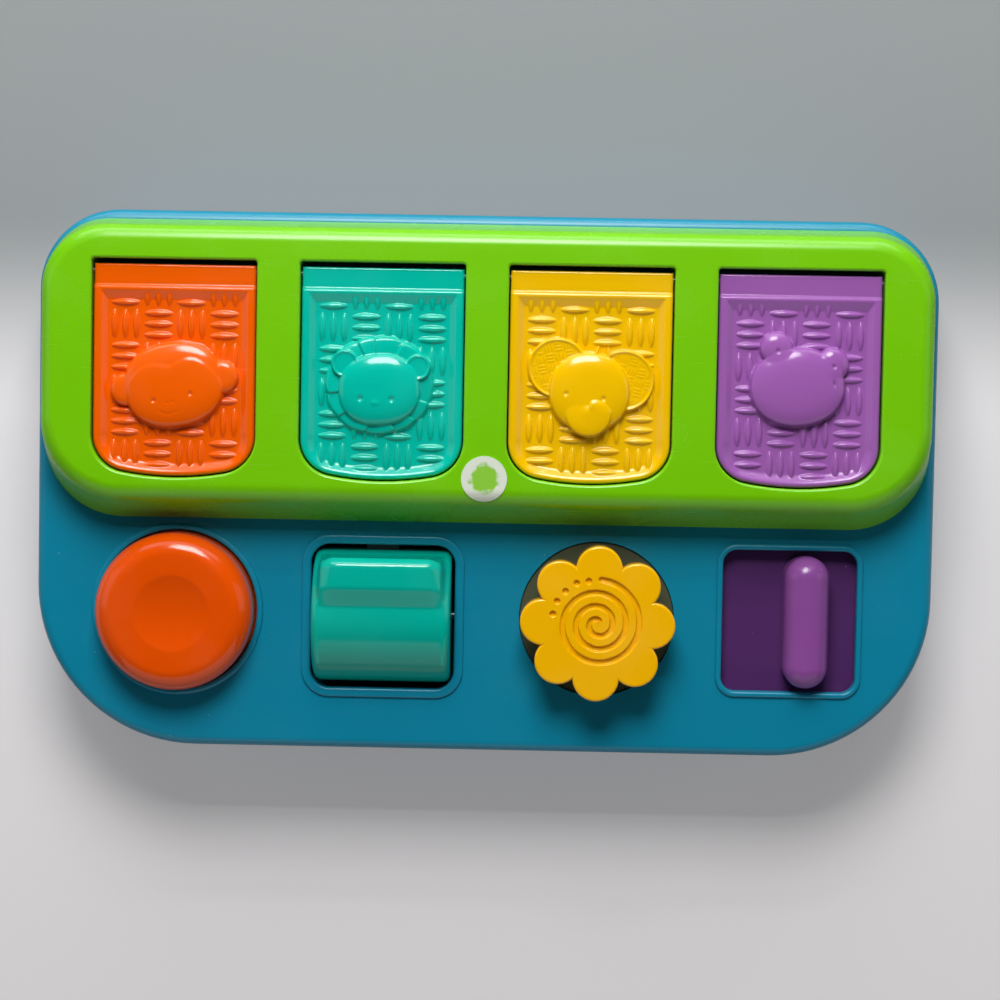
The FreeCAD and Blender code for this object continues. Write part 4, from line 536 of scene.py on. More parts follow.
def make_object(name, vertices, faces, material, body, sharp_from=None):
    """An object from corners in millimetres; edges from one corner number on are kept sharp."""
    mesh = bpy.data.meshes.new(name)
    mesh.from_pydata((np.asarray(vertices) * MM).tolist(), [], faces)
    mesh.validate()
    mesh.shade_smooth()
    if sharp_from is not None:
        ends = np.zeros(len(mesh.edges) * 2, int)
        mesh.edges.foreach_get("vertices", ends)
        sharp = (ends.reshape(-1, 2) >= sharp_from).all(axis=1)
        mesh.edges.foreach_set("use_edge_sharp", sharp)
    mesh.materials.append(material)
    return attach(add_object(name, mesh), body)


def grid_faces(rows, columns):
    index = np.arange(rows * columns).reshape(rows, columns)
    corners = (index[:-1, :-1], index[:-1, 1:], index[1:, 1:], index[1:, :-1])
    return np.stack([c.ravel() for c in corners], axis=1)


SHARP_EDGE = 0.2  # how far above the underside a plate's side is divided, to keep its edge crisp


def plate(x, y, top, bottom):
    """Corners and faces of a closed plate: a grid of heights, straight sides and a flat underside."""
    rows, columns = x.shape
    index = np.arange(rows * columns).reshape(rows, columns)
    ring = np.concatenate([index[0, :-1], index[:-1, -1], index[-1, :0:-1], index[:0:-1, 0]])
    flat = np.stack([x.ravel(), y.ravel(), top.ravel()], axis=1)
    skirt = flat[ring].copy()
    skirt[:, 2] = bottom + SHARP_EDGE
    foot = flat[ring].copy()
    foot[:, 2] = bottom
    vertices = np.concatenate([flat, skirt, foot])
    count, start = len(ring), rows * columns
    upper = start + np.arange(count)
    lower = upper + count
    following = np.roll(np.arange(count), -1)
    walls = np.concatenate([
        np.stack([upper, upper[following], ring[following], ring], axis=1),
        np.stack([lower, lower[following], upper[following], upper], axis=1)])
    faces = grid_faces(rows, columns).tolist() + walls.tolist() + [lower[::-1].tolist()]
    return vertices, faces, start + count


def spaced(length, step, near_edge):
    """Positions from 0 to a length, closer together beside both ends."""
    fine = np.array(near_edge)
    middle = np.linspace(near_edge[-1], length - near_edge[-1],
                         int((length - 2 * near_edge[-1]) / step) + 2)
    return np.concatenate([fine, middle[1:-1], length - fine[::-1]])


# distances in from an edge at which a rounded edge is divided
EDGE_STEPS = (0.0, 0.05, 0.12, 0.22, 0.36, 0.55, 0.8)


def lid_front(x):
    """The lid's front edge, a bow between round corners: y at each x, and where the corners are."""
    bow_y = LID_FRONT_Y + LID_BOW_RADIUS
    inner = LID_HALF_WIDTH - LID_CORNER
    corner_y = bow_y - math.sqrt((LID_BOW_RADIUS - LID_CORNER) ** 2 - inner ** 2)
    lean = math.atan2(inner, bow_y - corner_y)
    bow = bow_y - np.sqrt(LID_BOW_RADIUS ** 2 - x ** 2)
    past = np.clip(np.abs(x) - inner, 0.0, LID_CORNER)
    corner = corner_y - np.sqrt(LID_CORNER ** 2 - past ** 2)
    return np.where(np.abs(x) < LID_BOW_RADIUS * math.sin(lean), bow, corner), corner_y, lean


def lid_depth(x, y):
    """Distance in from the lid's sides and front."""
    _, corner_y, lean = lid_front(np.zeros(1))
    side = LID_HALF_WIDTH - np.abs(x)
    bow = LID_BOW_RADIUS - np.hypot(x, y - LID_FRONT_Y - LID_BOW_RADIUS)
    px, py = np.abs(x) - (LID_HALF_WIDTH - LID_CORNER), y - corner_y
    corner = LID_CORNER - np.hypot(px, py)
    in_corner = (px > 0) & (py < 0) & (math.sin(lean) * py + math.cos(lean) * px > 0)
    return np.where(in_corner, corner, np.minimum(side, bow))


# The recess's walls: where each starts and ends, in from the lid's edge, at its sides and front.
SIDE_WALL_TOP, SIDE_WALL_FOOT = 2.2, 4.3
FRONT_WALL_TOP, FRONT_WALL_FOOT = 0.9, 4.0
FRONT_FROM, FRONT_OVER = 50.0, 10.0
# Distances below the hinge edge, and the width that the weave fills.
BACK_WALL_FOOT, BACK_WALL_LENGTH = 10.8, 3.0
STRIP_END, STRIP_STEP, STRIP_LIMIT = 6.1, 1.1, 8.0
WEAVE_FROM, WEAVE_HALF_WIDTH = 6.0, 20.3
LID_EDGE_RADIUS, HINGE_EDGE_RADIUS = 0.9, 0.6


def lid_heights(x, y, animal):
    """The lid's upper face: hinge strip, rim, sloped recess, weave and the animal's head."""
    below = LID_BACK_Y - y
    depth = lid_depth(x, y)
    front = smooth((below - FRONT_FROM) / FRONT_OVER)
    foot = SIDE_WALL_FOOT + (FRONT_WALL_FOOT - SIDE_WALL_FOOT) * front
    top = SIDE_WALL_TOP + (FRONT_WALL_TOP - SIDE_WALL_TOP) * front
    side_wall = np.clip((foot - depth) / (foot - top), 0, 1)
    side_wall = side_wall + (smooth(side_wall) - side_wall) * front
    back_wall = np.clip((BACK_WALL_FOOT - below) / BACK_WALL_LENGTH, 0, 1)
    height = LID_FLOOR_Z + (LID_RIM_Z - LID_FLOOR_Z) * np.maximum(side_wall, back_wall)
    weave = basket_weave(x, below, upright_first=animal in ("elephant", "hippo"))
    woven = (below > WEAVE_FROM) & (np.abs(x) < WEAVE_HALF_WIDTH)
    height = np.maximum(height, LID_FLOOR_Z + np.where(woven, weave, 0))
    height = np.maximum(height, LID_FLOOR_Z + HEADS[animal](x, below))
    strip = LID_STRIP_Z + (LID_RIM_Z - LID_STRIP_Z) * smooth((below - STRIP_END) / STRIP_STEP)
    height = np.where(below < STRIP_LIMIT, np.minimum(height, strip), height)
    return height - np.maximum(rounding(depth, LID_EDGE_RADIUS), rounding(below, HINGE_EDGE_RADIUS))


def averaged(heights, x, y, *facts):
    """Heights averaged over a small square round each corner, which keeps steep edges even."""
    spread = LID_GRID * 0.3
    total = 0
    for dx, dy in ((-spread, -spread), (spread, -spread), (-spread, spread), (spread, spread)):
        total = total + heights(x + dx, y + dy, *facts)
    return total / 4


def lid(animal, material):
    """The lid's plate with its recess, weave and head."""
    across = spaced(2 * LID_HALF_WIDTH, LID_GRID, EDGE_STEPS) - LID_HALF_WIDTH
    along = spaced(1.0, LID_GRID / LID_LENGTH, np.array(EDGE_STEPS) / LID_LENGTH)
    front, _, _ = lid_front(across)
    x = np.broadcast_to(across, (len(along), len(across)))
    y = front + (LID_BACK_Y - front) * along[:, None]
    top = averaged(lid_heights, x, y, animal)
    vertices, faces, sharp = plate(x + LID_X[animal], y, top, LID_BOTTOM_Z)
    obj = make_object(f"{animal}_lid_cover", vertices, faces, material, f"{animal}_door", sharp)
    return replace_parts(obj, f"{animal}_lid")


def turned(name, profile, centre, axis, material, body, sides=48, crease=40):
    """A shape turned about X or Z through a centre, from (radius, distance along) pairs."""
    angles = np.linspace(0, 2 * math.pi, sides, endpoint=False)
    rings = []
    for radius, distance in profile:
        ring = np.column_stack([radius * np.cos(angles), radius * np.sin(angles),
                                np.full(sides, distance)])
        if axis == "X":
            ring = ring[:, (2, 0, 1)]
        rings.append(ring + np.array(centre))
    return rings_object(name, rings, material, body, crease)


def rings_object(name, rings, material, body, crease=40):
    """A closed skin over rings of equal length, with a flat end at each side."""
    sides = len(rings[0])
    faces = []
    for k in range(len(rings) - 1):
        a = k * sides + np.arange(sides)
        b = np.roll(a, -1)
        faces += np.stack([a, b, b + sides, a + sides], axis=1).tolist()
    faces.append(list(range(sides))[::-1])
    faces.append(list(range((len(rings) - 1) * sides, len(rings) * sides)))
    obj = make_object(name, np.concatenate(rings), faces, material, body)
    obj.data.set_sharp_from_angle(angle=math.radians(crease))
    return obj


BARREL_BORE, BARREL_RADIUS, BARREL_CHAMFER = 1.12, 2.2, 0.3
# the hook seen from its side, as (y, z) on the shut lid
HOOK_OUTLINE = ((4.7, 50.7), (4.7, 41.3), (2.8, 41.3), (2.8, 39.6), (6.9, 39.6), (6.9, 50.7))
HOOK_HALF_WIDTH, HOOK_SOFT_CORNER = 4.0, 0.25


def extruded(outline, half_width, origin):
    """An outline in (y, z), as one ring at each side of an origin."""
    return [np.array([(x, y, z) for y, z in outline]) + origin for x in (-half_width, half_width)]


def lid_fittings(animal, material):
    """The lid's hinge barrel and the hook its latch holds."""
    body = f"{animal}_door"
    half, shoulder = LID_HALF_WIDTH, BARREL_RADIUS - BARREL_CHAMFER
    left_end = [(BARREL_BORE, -half), (shoulder, -half), (BARREL_RADIUS, -half + BARREL_CHAMFER)]
    right_end = [(radius, -distance) for radius, distance in reversed(left_end)]
    hinge = (LID_X[animal], HINGE_Y, HINGE_Z)
    barrel = turned(f"{animal}_lid_barrel", left_end + right_end, hinge, "X", material, body)
    sides = extruded(HOOK_OUTLINE, HOOK_HALF_WIDTH, (LID_X[animal], 0.0, 0.0))
    hook = rings_object(f"{animal}_lid_hook", sides, material, body, crease=20)
    soften = hook.modifiers.new("soft corners", "BEVEL")
    soften.width = HOOK_SOFT_CORNER * MM
    soften.segments = 2


# ---- figures on the lids' inner sides ----

FIGURE_Y = 34.0
FIGURE_HALF_X, FIGURE_HALF_Y, FIGURE_CORNER = 15.5, 16.0, 5.0
FIGURE_GRID, FIGURE_PLATE, FIGURE_EDGE_RADIUS = 0.3, 1.6, 0.5
# the head on it: its scale, how much higher it stands, and its middle below the hinge edge
FIGURE_SCALE, FIGURE_LIFT, FIGURE_HEAD_B = 0.76, 1.12, 36.5
FIGURE_LEAN = {"monkey": 8, "lion": -5, "elephant": -9, "hippo": -12}
FIGURE_EYES = {"monkey": ((-6.5, 42.3), (4.9, 40.4)), "lion": ((-6.3, 39.8), (3.2, 39.9)),
               "elephant": ((-7.3, 37.2), (4.1, 38.6)), "hippo": ((-5.0, 31.0), (6.0, 33.0))}
FIGURE_EYE_RADIUS, FIGURE_EYE_BLUR = 1.25, 0.3


def figure(animal, material):
    """A card with a smaller head of the same animal raised on it, and where it is painted."""
    across = spaced(2 * FIGURE_HALF_X, FIGURE_GRID, EDGE_STEPS) - FIGURE_HALF_X
    length = 2 * FIGURE_HALF_Y
    along = spaced(1.0, FIGURE_GRID / length, np.array(EDGE_STEPS) / length)
    past = np.clip(np.abs(across) - (FIGURE_HALF_X - FIGURE_CORNER), 0, FIGURE_CORNER)
    reach = FIGURE_HALF_Y - FIGURE_CORNER + np.sqrt(FIGURE_CORNER ** 2 - past ** 2)
    x = np.broadcast_to(across, (len(along), len(across)))
    up = -reach + 2 * reach * along[:, None]

    u, v = leaning_axes(x, up, 0.0, 0.0, FIGURE_LEAN[animal])
    head_x, head_b = u / FIGURE_SCALE, FIGURE_HEAD_B - v / FIGURE_SCALE
    head = HEADS[animal](head_x, head_b) * FIGURE_LIFT
    edge = np.minimum(FIGURE_HALF_X - np.abs(x), reach - np.abs(up))
    top = FIGURE_PLATE + np.maximum(head, 0.0) - rounding(edge, FIGURE_EDGE_RADIUS)
    vertices, faces, sharp = plate(x, up, top, 0.0)
    vertices = vertices * (1, -1, -1) + (LID_X[animal], FIGURE_Y, LID_BOTTOM_Z)
    obj = make_object(f"{animal}_figure_relief", vertices, faces, material, f"{animal}_door", sharp)

    raised, ink = np.zeros(len(vertices)), np.zeros(len(vertices))
    raised[:x.size] = smooth(head.ravel() / 0.4)
    for eye_x, eye_b in FIGURE_EYES[animal]:
        inside = FIGURE_EYE_RADIUS - np.hypot(head_x - eye_x, head_b - eye_b)
        ink[:x.size] = np.maximum(ink[:x.size], smooth(inside / FIGURE_EYE_BLUR).ravel())
    for label, values in (("raised", raised), ("ink", ink)):
        layer = obj.data.attributes.new(label, "FLOAT", "POINT")
        layer.data.foreach_set("value", values.astype(np.float32))
    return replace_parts(obj, f"{animal}_figure")


# ---- flower knob ----

PETALS = 8
FLOWER_STEPS, FLOWER_RINGS = 800, 110
PETAL_RADIUS, PETAL_RING, PETAL_EDGE_RADIUS = 7.15, 16.75, 0.7
PETAL_TOP, PETAL_BOTTOM = 54.0, 46.0
FLOWER_REACH = 24.0
FLOWER_TURN = math.radians(-1.0)
# the petals' lower edge and the hub and shaft under them, as (inset, z) and (radius, z)
PETAL_FOOT = ((0.0, 46.5), (0.12, 46.2), (0.4, PETAL_BOTTOM))
FLOWER_SHAFT = ((9.0, PETAL_BOTTOM), (9.0, 37.2), (2.6, 37.2), (2.6, 27.4))
# the groove: a spiral from its outer end inwards, and dots as (degrees, distance from the middle)
SPIRAL_START, SPIRAL_PITCH, SPIRAL_TURNS = 13.75, 4.1, 3.15
SPIRAL_ANGLE = math.radians(87)
GROOVE_DEPTH, GROOVE_HALF_WIDTH, GROOVE_SLOPE = 1.05, 1.0, 0.42
DOT_RADIUS = 1.1
FLOWER_DOTS = ((103.6, 13.5), (118.9, 14.1), (136.2, 14.1), (152.4, 14.3), (169.1, 14.1))


def flower_reach(angle):
    """Distance from the middle to the flower's edge in each direction."""
    step = 2 * math.pi / PETALS
    off = np.mod(angle - math.pi / 2 + step / 2, step) - step / 2
    return PETAL_RING * np.cos(off) + np.sqrt(PETAL_RADIUS ** 2 - (PETAL_RING * np.sin(off)) ** 2)


def distance_from(x, y, radius, angle):
    """Distance from a point that lies at a radius and an angle from the middle."""
    return np.hypot(x - radius * math.cos(angle), y - radius * math.sin(angle))


def flower_heights(radius, angle):
    """The knob's face: rounded petal edges, a spiral groove and a row of dots."""
    x, y = radius * np.cos(angle), radius * np.sin(angle)
    depth = np.full_like(radius, -1.0)
    for k in range(PETALS):
        turn = math.pi / 2 + k * 2 * math.pi / PETALS
        depth = np.maximum(depth, PETAL_RADIUS - distance_from(x, y, PETAL_RING, turn))
    depth = np.maximum(depth, PETAL_RING - radius)
    height = PETAL_TOP - rounding(np.maximum(depth, 0), PETAL_EDGE_RADIUS)
    wound = np.mod(SPIRAL_ANGLE - angle, 2 * math.pi) / (2 * math.pi)
    groove = np.zeros_like(radius)
    for lap in range(math.ceil(SPIRAL_TURNS)):
        turns = wound + lap
        line = SPIRAL_START - SPIRAL_PITCH * turns
        cut = smooth((GROOVE_HALF_WIDTH - np.abs(radius - line)) / GROOVE_SLOPE)
        groove = np.maximum(groove, np.where(turns < SPIRAL_TURNS, cut, 0))
    from_start = distance_from(x, y, SPIRAL_START, SPIRAL_ANGLE)
    groove = np.maximum(groove, smooth((GROOVE_HALF_WIDTH - from_start) / GROOVE_SLOPE))
    for degrees, ring in FLOWER_DOTS:
        from_dot = distance_from(x, y, ring, math.radians(degrees))
        groove = np.maximum(groove, smooth((DOT_RADIUS - from_dot) / GROOVE_SLOPE))
    return height - GROOVE_DEPTH * groove


def flower_knob(material):
    """The knob in one mesh: face, petal wall, hub and shaft."""
    angle = np.linspace(0, 2 * math.pi, FLOWER_STEPS, endpoint=False)
    reach = flower_reach(angle)
    inward = np.array(EDGE_STEPS[:0:-1]) / FLOWER_REACH
    share = np.concatenate([np.linspace(0.004, 1 - inward[0], FLOWER_RINGS), 1 - inward[1:], [1.0]])

    def ring(radius, height):
        return np.column_stack([FLOWER_X + radius * np.cos(angle + FLOWER_TURN),
                                FLOWER_Y + radius * np.sin(angle + FLOWER_TURN),
                                np.broadcast_to(height, angle.shape)])

    rings = [ring(reach * s, flower_heights(reach * s, angle)) for s in share]
    rings += [ring(reach - inset, z) for inset, z in PETAL_FOOT]
    rings += [ring(np.full_like(angle, radius), z) for radius, z in FLOWER_SHAFT]
    obj = rings_object("flower_knob_face", rings, material, "knob", crease=50)
    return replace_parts(obj, "flower_knob")


# ---- push button ----

BUTTON_AXIS = (-95.9, -40.8, 0.0)
BUTTON_RADIUS, BUTTON_SHOULDER_Z, BUTTON_TOP_Z = 24.5, 46.0, 52.5
BUTTON_DISH_RADIUS, BUTTON_DISH_DEPTH = 11.6, 1.3
# the level part round the dish: it sinks a little from its outer edge, and drops into the dish
BUTTON_FLAT_SINK, BUTTON_FLAT_WIDTH, BUTTON_DISH_DROP = 0.10, 6.0, 0.14
BUTTON_FLAT_FROM, BUTTON_FLAT_TO = 17.4, 11.8
BUTTON_CEILING_Z, BUTTON_SKIRT_Z = 48.2, 33.0
NEAR_AXIS = 0.04
# outlines from the axis outwards, as (radius, z): the stem and hollow, and the flange
BUTTON_HOLLOW = ((NEAR_AXIS, 10.5), (4.7, 10.5), (5.0, 10.8), (5.0, BUTTON_CEILING_Z),
                 (18.0, BUTTON_CEILING_Z), (22.3, 43.8), (22.3, BUTTON_SKIRT_Z))
BUTTON_FLANGE = ((25.7, BUTTON_SKIRT_Z), (25.9, 33.2), (25.9, 35.0), (25.7, 35.2), (24.5, 35.2))
# the wedge seen from its side, as (y, z) from the button's axis
WEDGE_OUTLINE = ((18.8, 24.0), (16.4, 24.0), (12.8, 30.0), (12.8, 48.3), (18.0, 48.3), (18.8, 47.5))
WEDGE_HALF_WIDTH = 3.0


def push_button(material):
    """A domed cap with a shallow dish, its stem, and the wedge that works the latch."""
    bend = BUTTON_TOP_Z - BUTTON_SHOULDER_Z
    flat_edge = BUTTON_RADIUS - bend
    crown = [(flat_edge + bend * math.cos(t), BUTTON_SHOULDER_Z + bend * math.sin(t))
             for t in np.linspace(0, math.pi / 2, 22)]
    flat = [(r, BUTTON_TOP_Z - BUTTON_FLAT_SINK * ((flat_edge - r) / BUTTON_FLAT_WIDTH) ** 2)
            for r in np.linspace(BUTTON_FLAT_FROM, BUTTON_FLAT_TO, 10)]
    rim_z = BUTTON_TOP_Z - BUTTON_DISH_DROP
    dish = [(r, rim_z - BUTTON_DISH_DEPTH * (1 - (r / BUTTON_DISH_RADIUS) ** 2))
            for r in np.linspace(BUTTON_DISH_RADIUS, NEAR_AXIS, 30)]
    profile = [*BUTTON_HOLLOW, *BUTTON_FLANGE, *crown, *flat, *dish]
    cap = turned("button_cap", profile, BUTTON_AXIS, "Z", material, "button", sides=160, crease=30)
    sides = extruded(WEDGE_OUTLINE, WEDGE_HALF_WIDTH, BUTTON_AXIS)
    rings_object("button_wedge", sides, material, "button", crease=20)
    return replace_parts(cap, "push_button")


# ---- the button's coil spring ----

COIL_RADIUS, COIL_WIRE, COIL_TURNS = 6.2, 0.55, 9
COIL_STEPS_A_TURN, COIL_WIRE_SIDES = 28, 12


def button_coil(material):
    """The button's spring, wound through the height of the carried-over spring it replaces."""
    low, high = (corner[2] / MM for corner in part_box("button_spring"))
    steps = COIL_TURNS * COIL_STEPS_A_TURN
    turn = np.linspace(0, 2 * math.pi * COIL_TURNS, steps + 1)
    height = np.linspace(low + COIL_WIRE, high - COIL_WIRE, steps + 1)
    section = np.linspace(0, 2 * math.pi, COIL_WIRE_SIDES, endpoint=False)
    reach = COIL_RADIUS + COIL_WIRE * np.cos(section)
    rings = []
    for angle, z in zip(turn, height):
        ring = np.column_stack([reach * math.cos(angle), reach * math.sin(angle),
                                z + COIL_WIRE * np.sin(section)])
        rings.append(ring + BUTTON_AXIS)
    coil = rings_object("button_coil", rings, material, "housing", crease=60)
    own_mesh(coil)
    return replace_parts(coil, "button_spring")


# ---- rocker ----

ROCKER_AXIS = (-31.4, -41.9, 31.2)
ROCKER_RADIUS, ROCKER_HALF, ROCKER_SKIRT = 21.2, 21.5, -8.0
ROCKER_HOLLOW_RADIUS = 19.0
ROCKER_END_RADIUS = 2.3
# the bar's outline beyond the drum, from its foot over its top to its back, as (y, z) from the axle
ROCKER_BAR = ((4.0, 20.82), (10.2, 23.55), (17.4, 23.55), (19.3, 21.4), (19.3, 8.77))
BAR_SOFT_CORNER = 2.0  # degrees each way over which its corners are softened
# Towards its ends the bar first slopes down by a share of its height and then drops to the drum.
BAR_SLOPE_FROM, BAR_SLOPE_LENGTH, BAR_SLOPE_SHARE = 14.6, 5.0, 0.42
BAR_DROP_FROM, BAR_DROP_LENGTH, BAR_DROP_SHARE = 18.3, 1.9, 0.58
# stations in from the rocker's end; the end wall ends at the repeated one
ROCKER_STATIONS = (0.0, 0.06, 0.16, 0.3, 0.5, 0.8, 1.15, 1.6, 2.2,
                   2.2, 2.8, 3.2, 3.7, 4.3, 5.0, 5.7, 6.4, 6.9)
END_WALL_STATIONS = 9
ROCKER_MIDDLE_STATIONS = np.linspace(9.0, 34.0, 12)
ROCKER_SKIN_STEPS, ROCKER_ARCH_STEPS = 260, 90


def bar_reach(angle):
    """Distance from the axle to the drum or the bar in each direction."""
    reach = np.full_like(angle, ROCKER_RADIUS)
    for (y0, z0), (y1, z1) in zip(ROCKER_BAR, ROCKER_BAR[1:]):
        across, up = z1 - z0, y0 - y1
        share = across * np.cos(angle) + up * np.sin(angle)
        inside = (angle <= math.atan2(z0, y0)) & (angle >= math.atan2(z1, y1))
        reach = np.where(inside, (across * y0 + up * z0) / np.where(inside, share, 1.0), reach)
    return reach


def rocker_reach(angle, x):
    """The rocker's skin at one station along its axle, with soft corners and sloping bar ends."""
    offsets = np.radians(np.linspace(-BAR_SOFT_CORNER, BAR_SOFT_CORNER, 11))
    weights = np.cos(offsets / offsets[-1] * math.pi / 2 * 0.92)
    soft = sum(w * bar_reach(angle + d) for w, d in zip(weights, offsets)) / weights.sum()
    past = max(abs(x) - BAR_SLOPE_FROM, 0.0)
    slope = BAR_SLOPE_SHARE * min(past / BAR_SLOPE_LENGTH, 1.0) ** 1.4
    drop = BAR_DROP_SHARE * float(smooth((abs(x) - BAR_DROP_FROM) / BAR_DROP_LENGTH))
    end = float(rounding(ROCKER_HALF - abs(x), ROCKER_END_RADIUS))
    return ROCKER_RADIUS + (soft - ROCKER_RADIUS) * (1 - slope - drop) - end


def rocker(material):
    """A hollow drum, open underneath, with a rounded bar along its top."""
    low = math.asin(ROCKER_SKIRT / ROCKER_RADIUS)
    angle = np.linspace(low, math.pi - low, ROCKER_SKIN_STEPS)
    inner_low = math.asin(ROCKER_SKIRT / ROCKER_HOLLOW_RADIUS)
    inner_angle = np.linspace(math.pi - inner_low, inner_low, ROCKER_ARCH_STEPS)
    arch = ROCKER_HOLLOW_RADIUS * np.column_stack([np.cos(inner_angle), np.sin(inner_angle)])
    closed = arch.copy()
    closed[:, 1] = ROCKER_SKIRT
    near = np.array(ROCKER_STATIONS)
    stations = np.concatenate([near, ROCKER_MIDDLE_STATIONS, 2 * ROCKER_HALF - near[::-1]])
    stations = stations - ROCKER_HALF
    rings = []
    for k, x in enumerate(stations):
        reach = rocker_reach(angle, x)
        skin = np.column_stack([reach * np.cos(angle),
                                np.maximum(reach * np.sin(angle), ROCKER_SKIRT)])
        in_end_wall = min(k, len(stations) - 1 - k) < END_WALL_STATIONS
        loop = np.concatenate([skin, closed if in_end_wall else arch])
        rings.append(np.column_stack([np.full(len(loop), x), loop]) + ROCKER_AXIS)
    obj = rings_object("rocker_body", rings, material, "rocker", crease=42)
    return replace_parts(obj, "rocker_switch")


# ---- carried-over parts ----

WELD_DISTANCE = 0.001 * MM
SMOOTH_BELOW = math.radians(28)


def smooth_shading_group():
    """Joins a solid's faces and shades them smooth wherever they meet at a shallow angle."""
    tree, given, out = new_group("smooth solid", [("Geometry", "NodeSocketGeometry", None)],
                                 [("Geometry", "NodeSocketGeometry")], "GeometryNodeTree")
    weld = put(tree, "GeometryNodeMergeByDistance",
               {"Geometry": given["Geometry"], "Distance": WELD_DISTANCE})
    faces = put(tree, "GeometryNodeSetShadeSmooth", {"Geometry": weld.outputs[0]}, domain="FACE")
    angle = put(tree, "GeometryNodeInputMeshEdgeAngle").outputs[0]
    shallow = put(tree, "FunctionNodeCompare", {0: angle, 1: SMOOTH_BELOW}, operation="LESS_THAN")
    edges = put(tree, "GeometryNodeSetShadeSmooth",
                {"Geometry": faces.outputs[0], "Shade Smooth": shallow.outputs[0]}, domain="EDGE")
    tree.links.new(edges.outputs[0], out.inputs[0])
    return tree


def dress_carried_over(finishes):
    """Gives each CAD node its finish and even shading over its rounded edges."""
    smoothing = smooth_shading_group()
    for node, material in finishes.items():
        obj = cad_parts[node]
        if not obj.material_slots:
            obj.data.materials.append(material)
        for material_slot in obj.material_slots:
            material_slot.link = "OBJECT"
            material_slot.material = material
        shading = obj.modifiers.new("smooth solid", "NODES")
        shading.node_group = smoothing
        weight = obj.modifiers.new("even faces", "WEIGHTED_NORMAL")
        weight.keep_sharp = True


# ---- stage ----

# Each lamp's place, width and height in metres, and its power in watts; all face the toy's middle.
LAMPS = {
    "key_panel": ((-0.03, 0.60, 0.70), 0.40, 0.26, 5.5),
    "key_strip_far": ((-0.03, 0.76, 0.58), 0.30, 0.030, 0.9),
    "key_strip_near": ((-0.03, 0.46, 0.78), 0.30, 0.022, 0.9),
    "front_panel": ((0.05, -0.95, 0.45), 2.20, 0.90, 3.5),
    "back_panel": ((-0.06, 1.05, 0.42), 1.6, 0.75, 6.2),
    "back_strip": ((-0.06, 1.08, 0.27), 1.5, 0.12, 3.5),
    "left_panel": ((-0.95, 0.15, 0.5), 0.5, 0.7, 0.6),
    "right_panel": ((0.95, 0.15, 0.5), 0.5, 0.7, 0.6),
}
WORLD_COLOUR, WORLD_STRENGTH = (0.80, 0.82, 0.84, 1.0), 0.03


def lights():
    """Soft panels behind, in front of and beside the toy; from above, no level face mirrors one."""
    for name, (position, width, height, power) in LAMPS.items():
        lamp = bpy.data.lights.new(name, "AREA")
        lamp.shape = "RECTANGLE"
        lamp.size, lamp.size_y = width, height
        lamp.energy = power
        obj = add_object(name, lamp)
        obj.location = position
        obj.rotation_euler = (-Vector(position)).to_track_quat("-Z", "Y").to_euler()
    world = bpy.data.worlds.new("studio")
    world.use_nodes = True
    background = world.node_tree.nodes["Background"]
    background.inputs["Color"].default_value = WORLD_COLOUR
    background.inputs["Strength"].default_value = WORLD_STRENGTH
    bpy.context.scene.world = world


FLOOR_HALF, FLOOR_GLOW, FLOOR_ROUGHNESS = 3.0, 0.30, 0.85
FLOOR_PALE_UNTIL_Y, FLOOR_PAINTED_SHADE_FROM_Y = 0.022, 0.092


def floor():
    """A pale floor with painted shade that greys it behind the toy; it glows a little for the eye
    alone, to stay pale.
    """
    material, tree, shader = new_material("pale floor")
    place = put(tree, "ShaderNodeTexCoord").outputs["Object"]
    along = put(tree, "ShaderNodeSeparateXYZ", {0: place}).outputs[1]
    cloud = noise(tree, place, 3.0, detail=3.0)
    # painted shade: the floor greys away from the toy, standing in for light falling off behind it
    drift = maths(tree, "ADD", along, maths(tree, "MULTIPLY", cloud, 0.01))
    far = put(tree, "ShaderNodeMapRange",
              {0: drift, 1: FLOOR_PALE_UNTIL_Y, 2: FLOOR_PAINTED_SHADE_FROM_Y, 3: 0.0, 4: 1.0},
              interpolation_type="SMOOTHSTEP").outputs[0]
    colour = mixed(tree, far, linear("floor_pale"), linear("floor_painted_shade_grey"))
    tree.links.new(colour, shader.inputs["Base Color"])
    tree.links.new(colour, shader.inputs["Emission Color"])
    seen = put(tree, "ShaderNodeLightPath").outputs["Is Camera Ray"]
    tree.links.new(maths(tree, "MULTIPLY", seen, FLOOR_GLOW), shader.inputs["Emission Strength"])
    shader.inputs["Roughness"].default_value = FLOOR_ROUGHNESS
    corners = [(x * FLOOR_HALF, y * FLOOR_HALF, 0) for x, y in ((-1, -1), (1, -1), (1, 1), (-1, 1))]
    mesh = bpy.data.meshes.new("floor")
    mesh.from_pydata(corners, [], [(0, 1, 2, 3)])
    mesh.materials.append(material)
    add_object("floor", mesh)


CAMERA_AT = (15.2, 35.9, 787.1)
CAMERA_PITCH, CAMERA_YAW, CAMERA_ROLL = (math.radians(v) for v in (3.1, 0.8, 1.05))
CAMERA_SENSOR, CAMERA_LENS = 36.0, 86.4


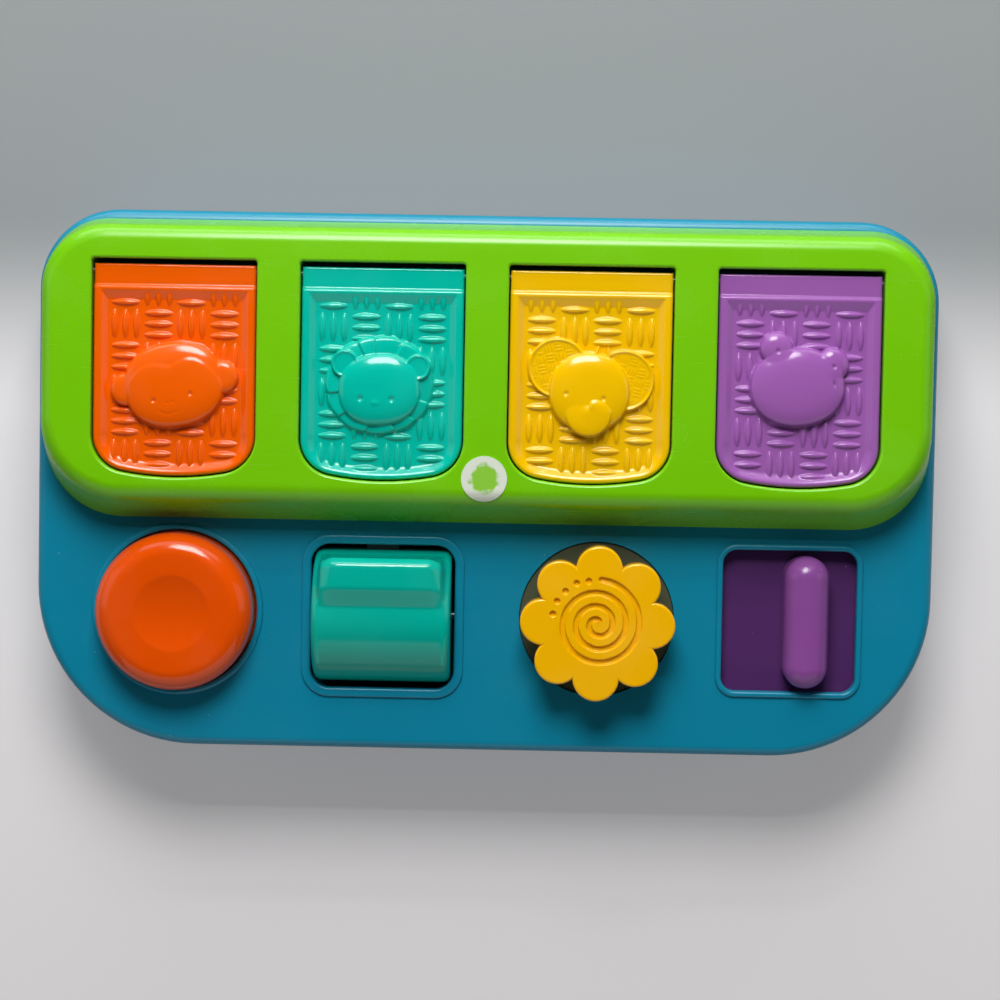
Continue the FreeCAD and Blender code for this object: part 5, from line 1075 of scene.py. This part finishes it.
def camera():
    """Nearly overhead and a little towards the hinge side."""
    tilt = math.cos(CAMERA_PITCH)
    forward = Vector((-math.sin(CAMERA_YAW) * tilt, -math.sin(CAMERA_PITCH),
                      -math.cos(CAMERA_YAW) * tilt))
    forward.normalize()
    right = forward.cross(Vector((0, 1, 0))).normalized()
    up = right.cross(forward)
    c, s = math.cos(CAMERA_ROLL), math.sin(CAMERA_ROLL)
    turn = Matrix((c * right + s * up, c * up - s * right, -forward)).transposed()
    data = bpy.data.cameras.new("camera")
    data.sensor_width = CAMERA_SENSOR
    data.lens = CAMERA_LENS
    data.clip_start, data.clip_end = 0.05, 20
    obj = add_object("camera", data)
    obj.matrix_world = Matrix.Translation(Vector(CAMERA_AT) * MM) @ turn.to_4x4()
    bpy.context.scene.camera = obj


# ---- assembly ----

def main():
    """Dresses the toy: its own meshes first, then the carried-over parts and the stage."""
    bpy.context.scene.view_settings.view_transform = "Standard"
    spring_steel = steel("spring steel", "spring_grey", 0.3)
    # painted shade: pin steel is dark and very dull so the pin ends in the gaps stay as dark as shade
    pin_steel = steel("pin steel", "pin_grey_painted_shade", 0.8)
    zinc = steel("zinc plate", "zinc_grey", 0.5)
    case_blue = plastic("case plastic", "case_blue", roughness=0.34, grain=0.5, specks=0.6, bump=0.6)
    latch_black = plastic("latch plastic", "latch_black", roughness=0.45, specks=0.1)
    finishes = {
        "upper_housing": case_blue, "bottom_cover": case_blue,
        "door_frame": plastic("frame plastic", "frame_green", roughness=0.27),
        "rubber_feet": rubber("foot rubber"), "round_label": worn_label("worn label"),
        # the disc's dark olive is painted shade from the hole under the flower
        "knob_disc": plastic("disc plastic", "disc_olive", roughness=0.5, grain=0.5, specks=1.0),
        "slider_grip": plastic("slider plastic", "slider_purple", roughness=0.22),
        # the slider plate's colour is the grip's purple with painted shade
        "slider_plate": plastic("slider plate plastic", "plate_purple_painted_shade", roughness=0.42, specks=0.8),
        "latch_keepers": latch_black, "slide_keepers": latch_black, "knob_bridge": latch_black,
        "rocker_axle": pin_steel, "rocker_spring": spring_steel,
        "case_screws": zinc, "frame_screws": zinc, "bridge_screws": zinc, "knob_screw": zinc,
    }
    for control in ("button", "rocker", "knob", "slider"):
        finishes[f"{control}_latch"] = latch_black
        finishes[f"{control}_latch_spring"] = spring_steel

    for animal, colour in zip(ANIMALS, ("orange", "teal", "yellow", "purple")):
        material, slot = plastic(f"{colour} plastic", colour), f"{colour}_plastic"
        finishes[f"{animal}_hinge_pin"] = pin_steel
        finishes[f"{animal}_lid_spring"] = spring_steel
        lid(animal, material)
        lid_fittings(animal, material)
        figure(animal, painted_figure(f"{animal} figure paint", colour))
    flower_knob(plastic("knob plastic", "knob_yellow"))
    rocker(plastic("rocker plastic", "rocker_teal"))
    push_button(plastic("button plastic", "button_orange"))
    button_coil(spring_steel)
    dress_carried_over(finishes)
    lights()
    floor()
    camera()


main()
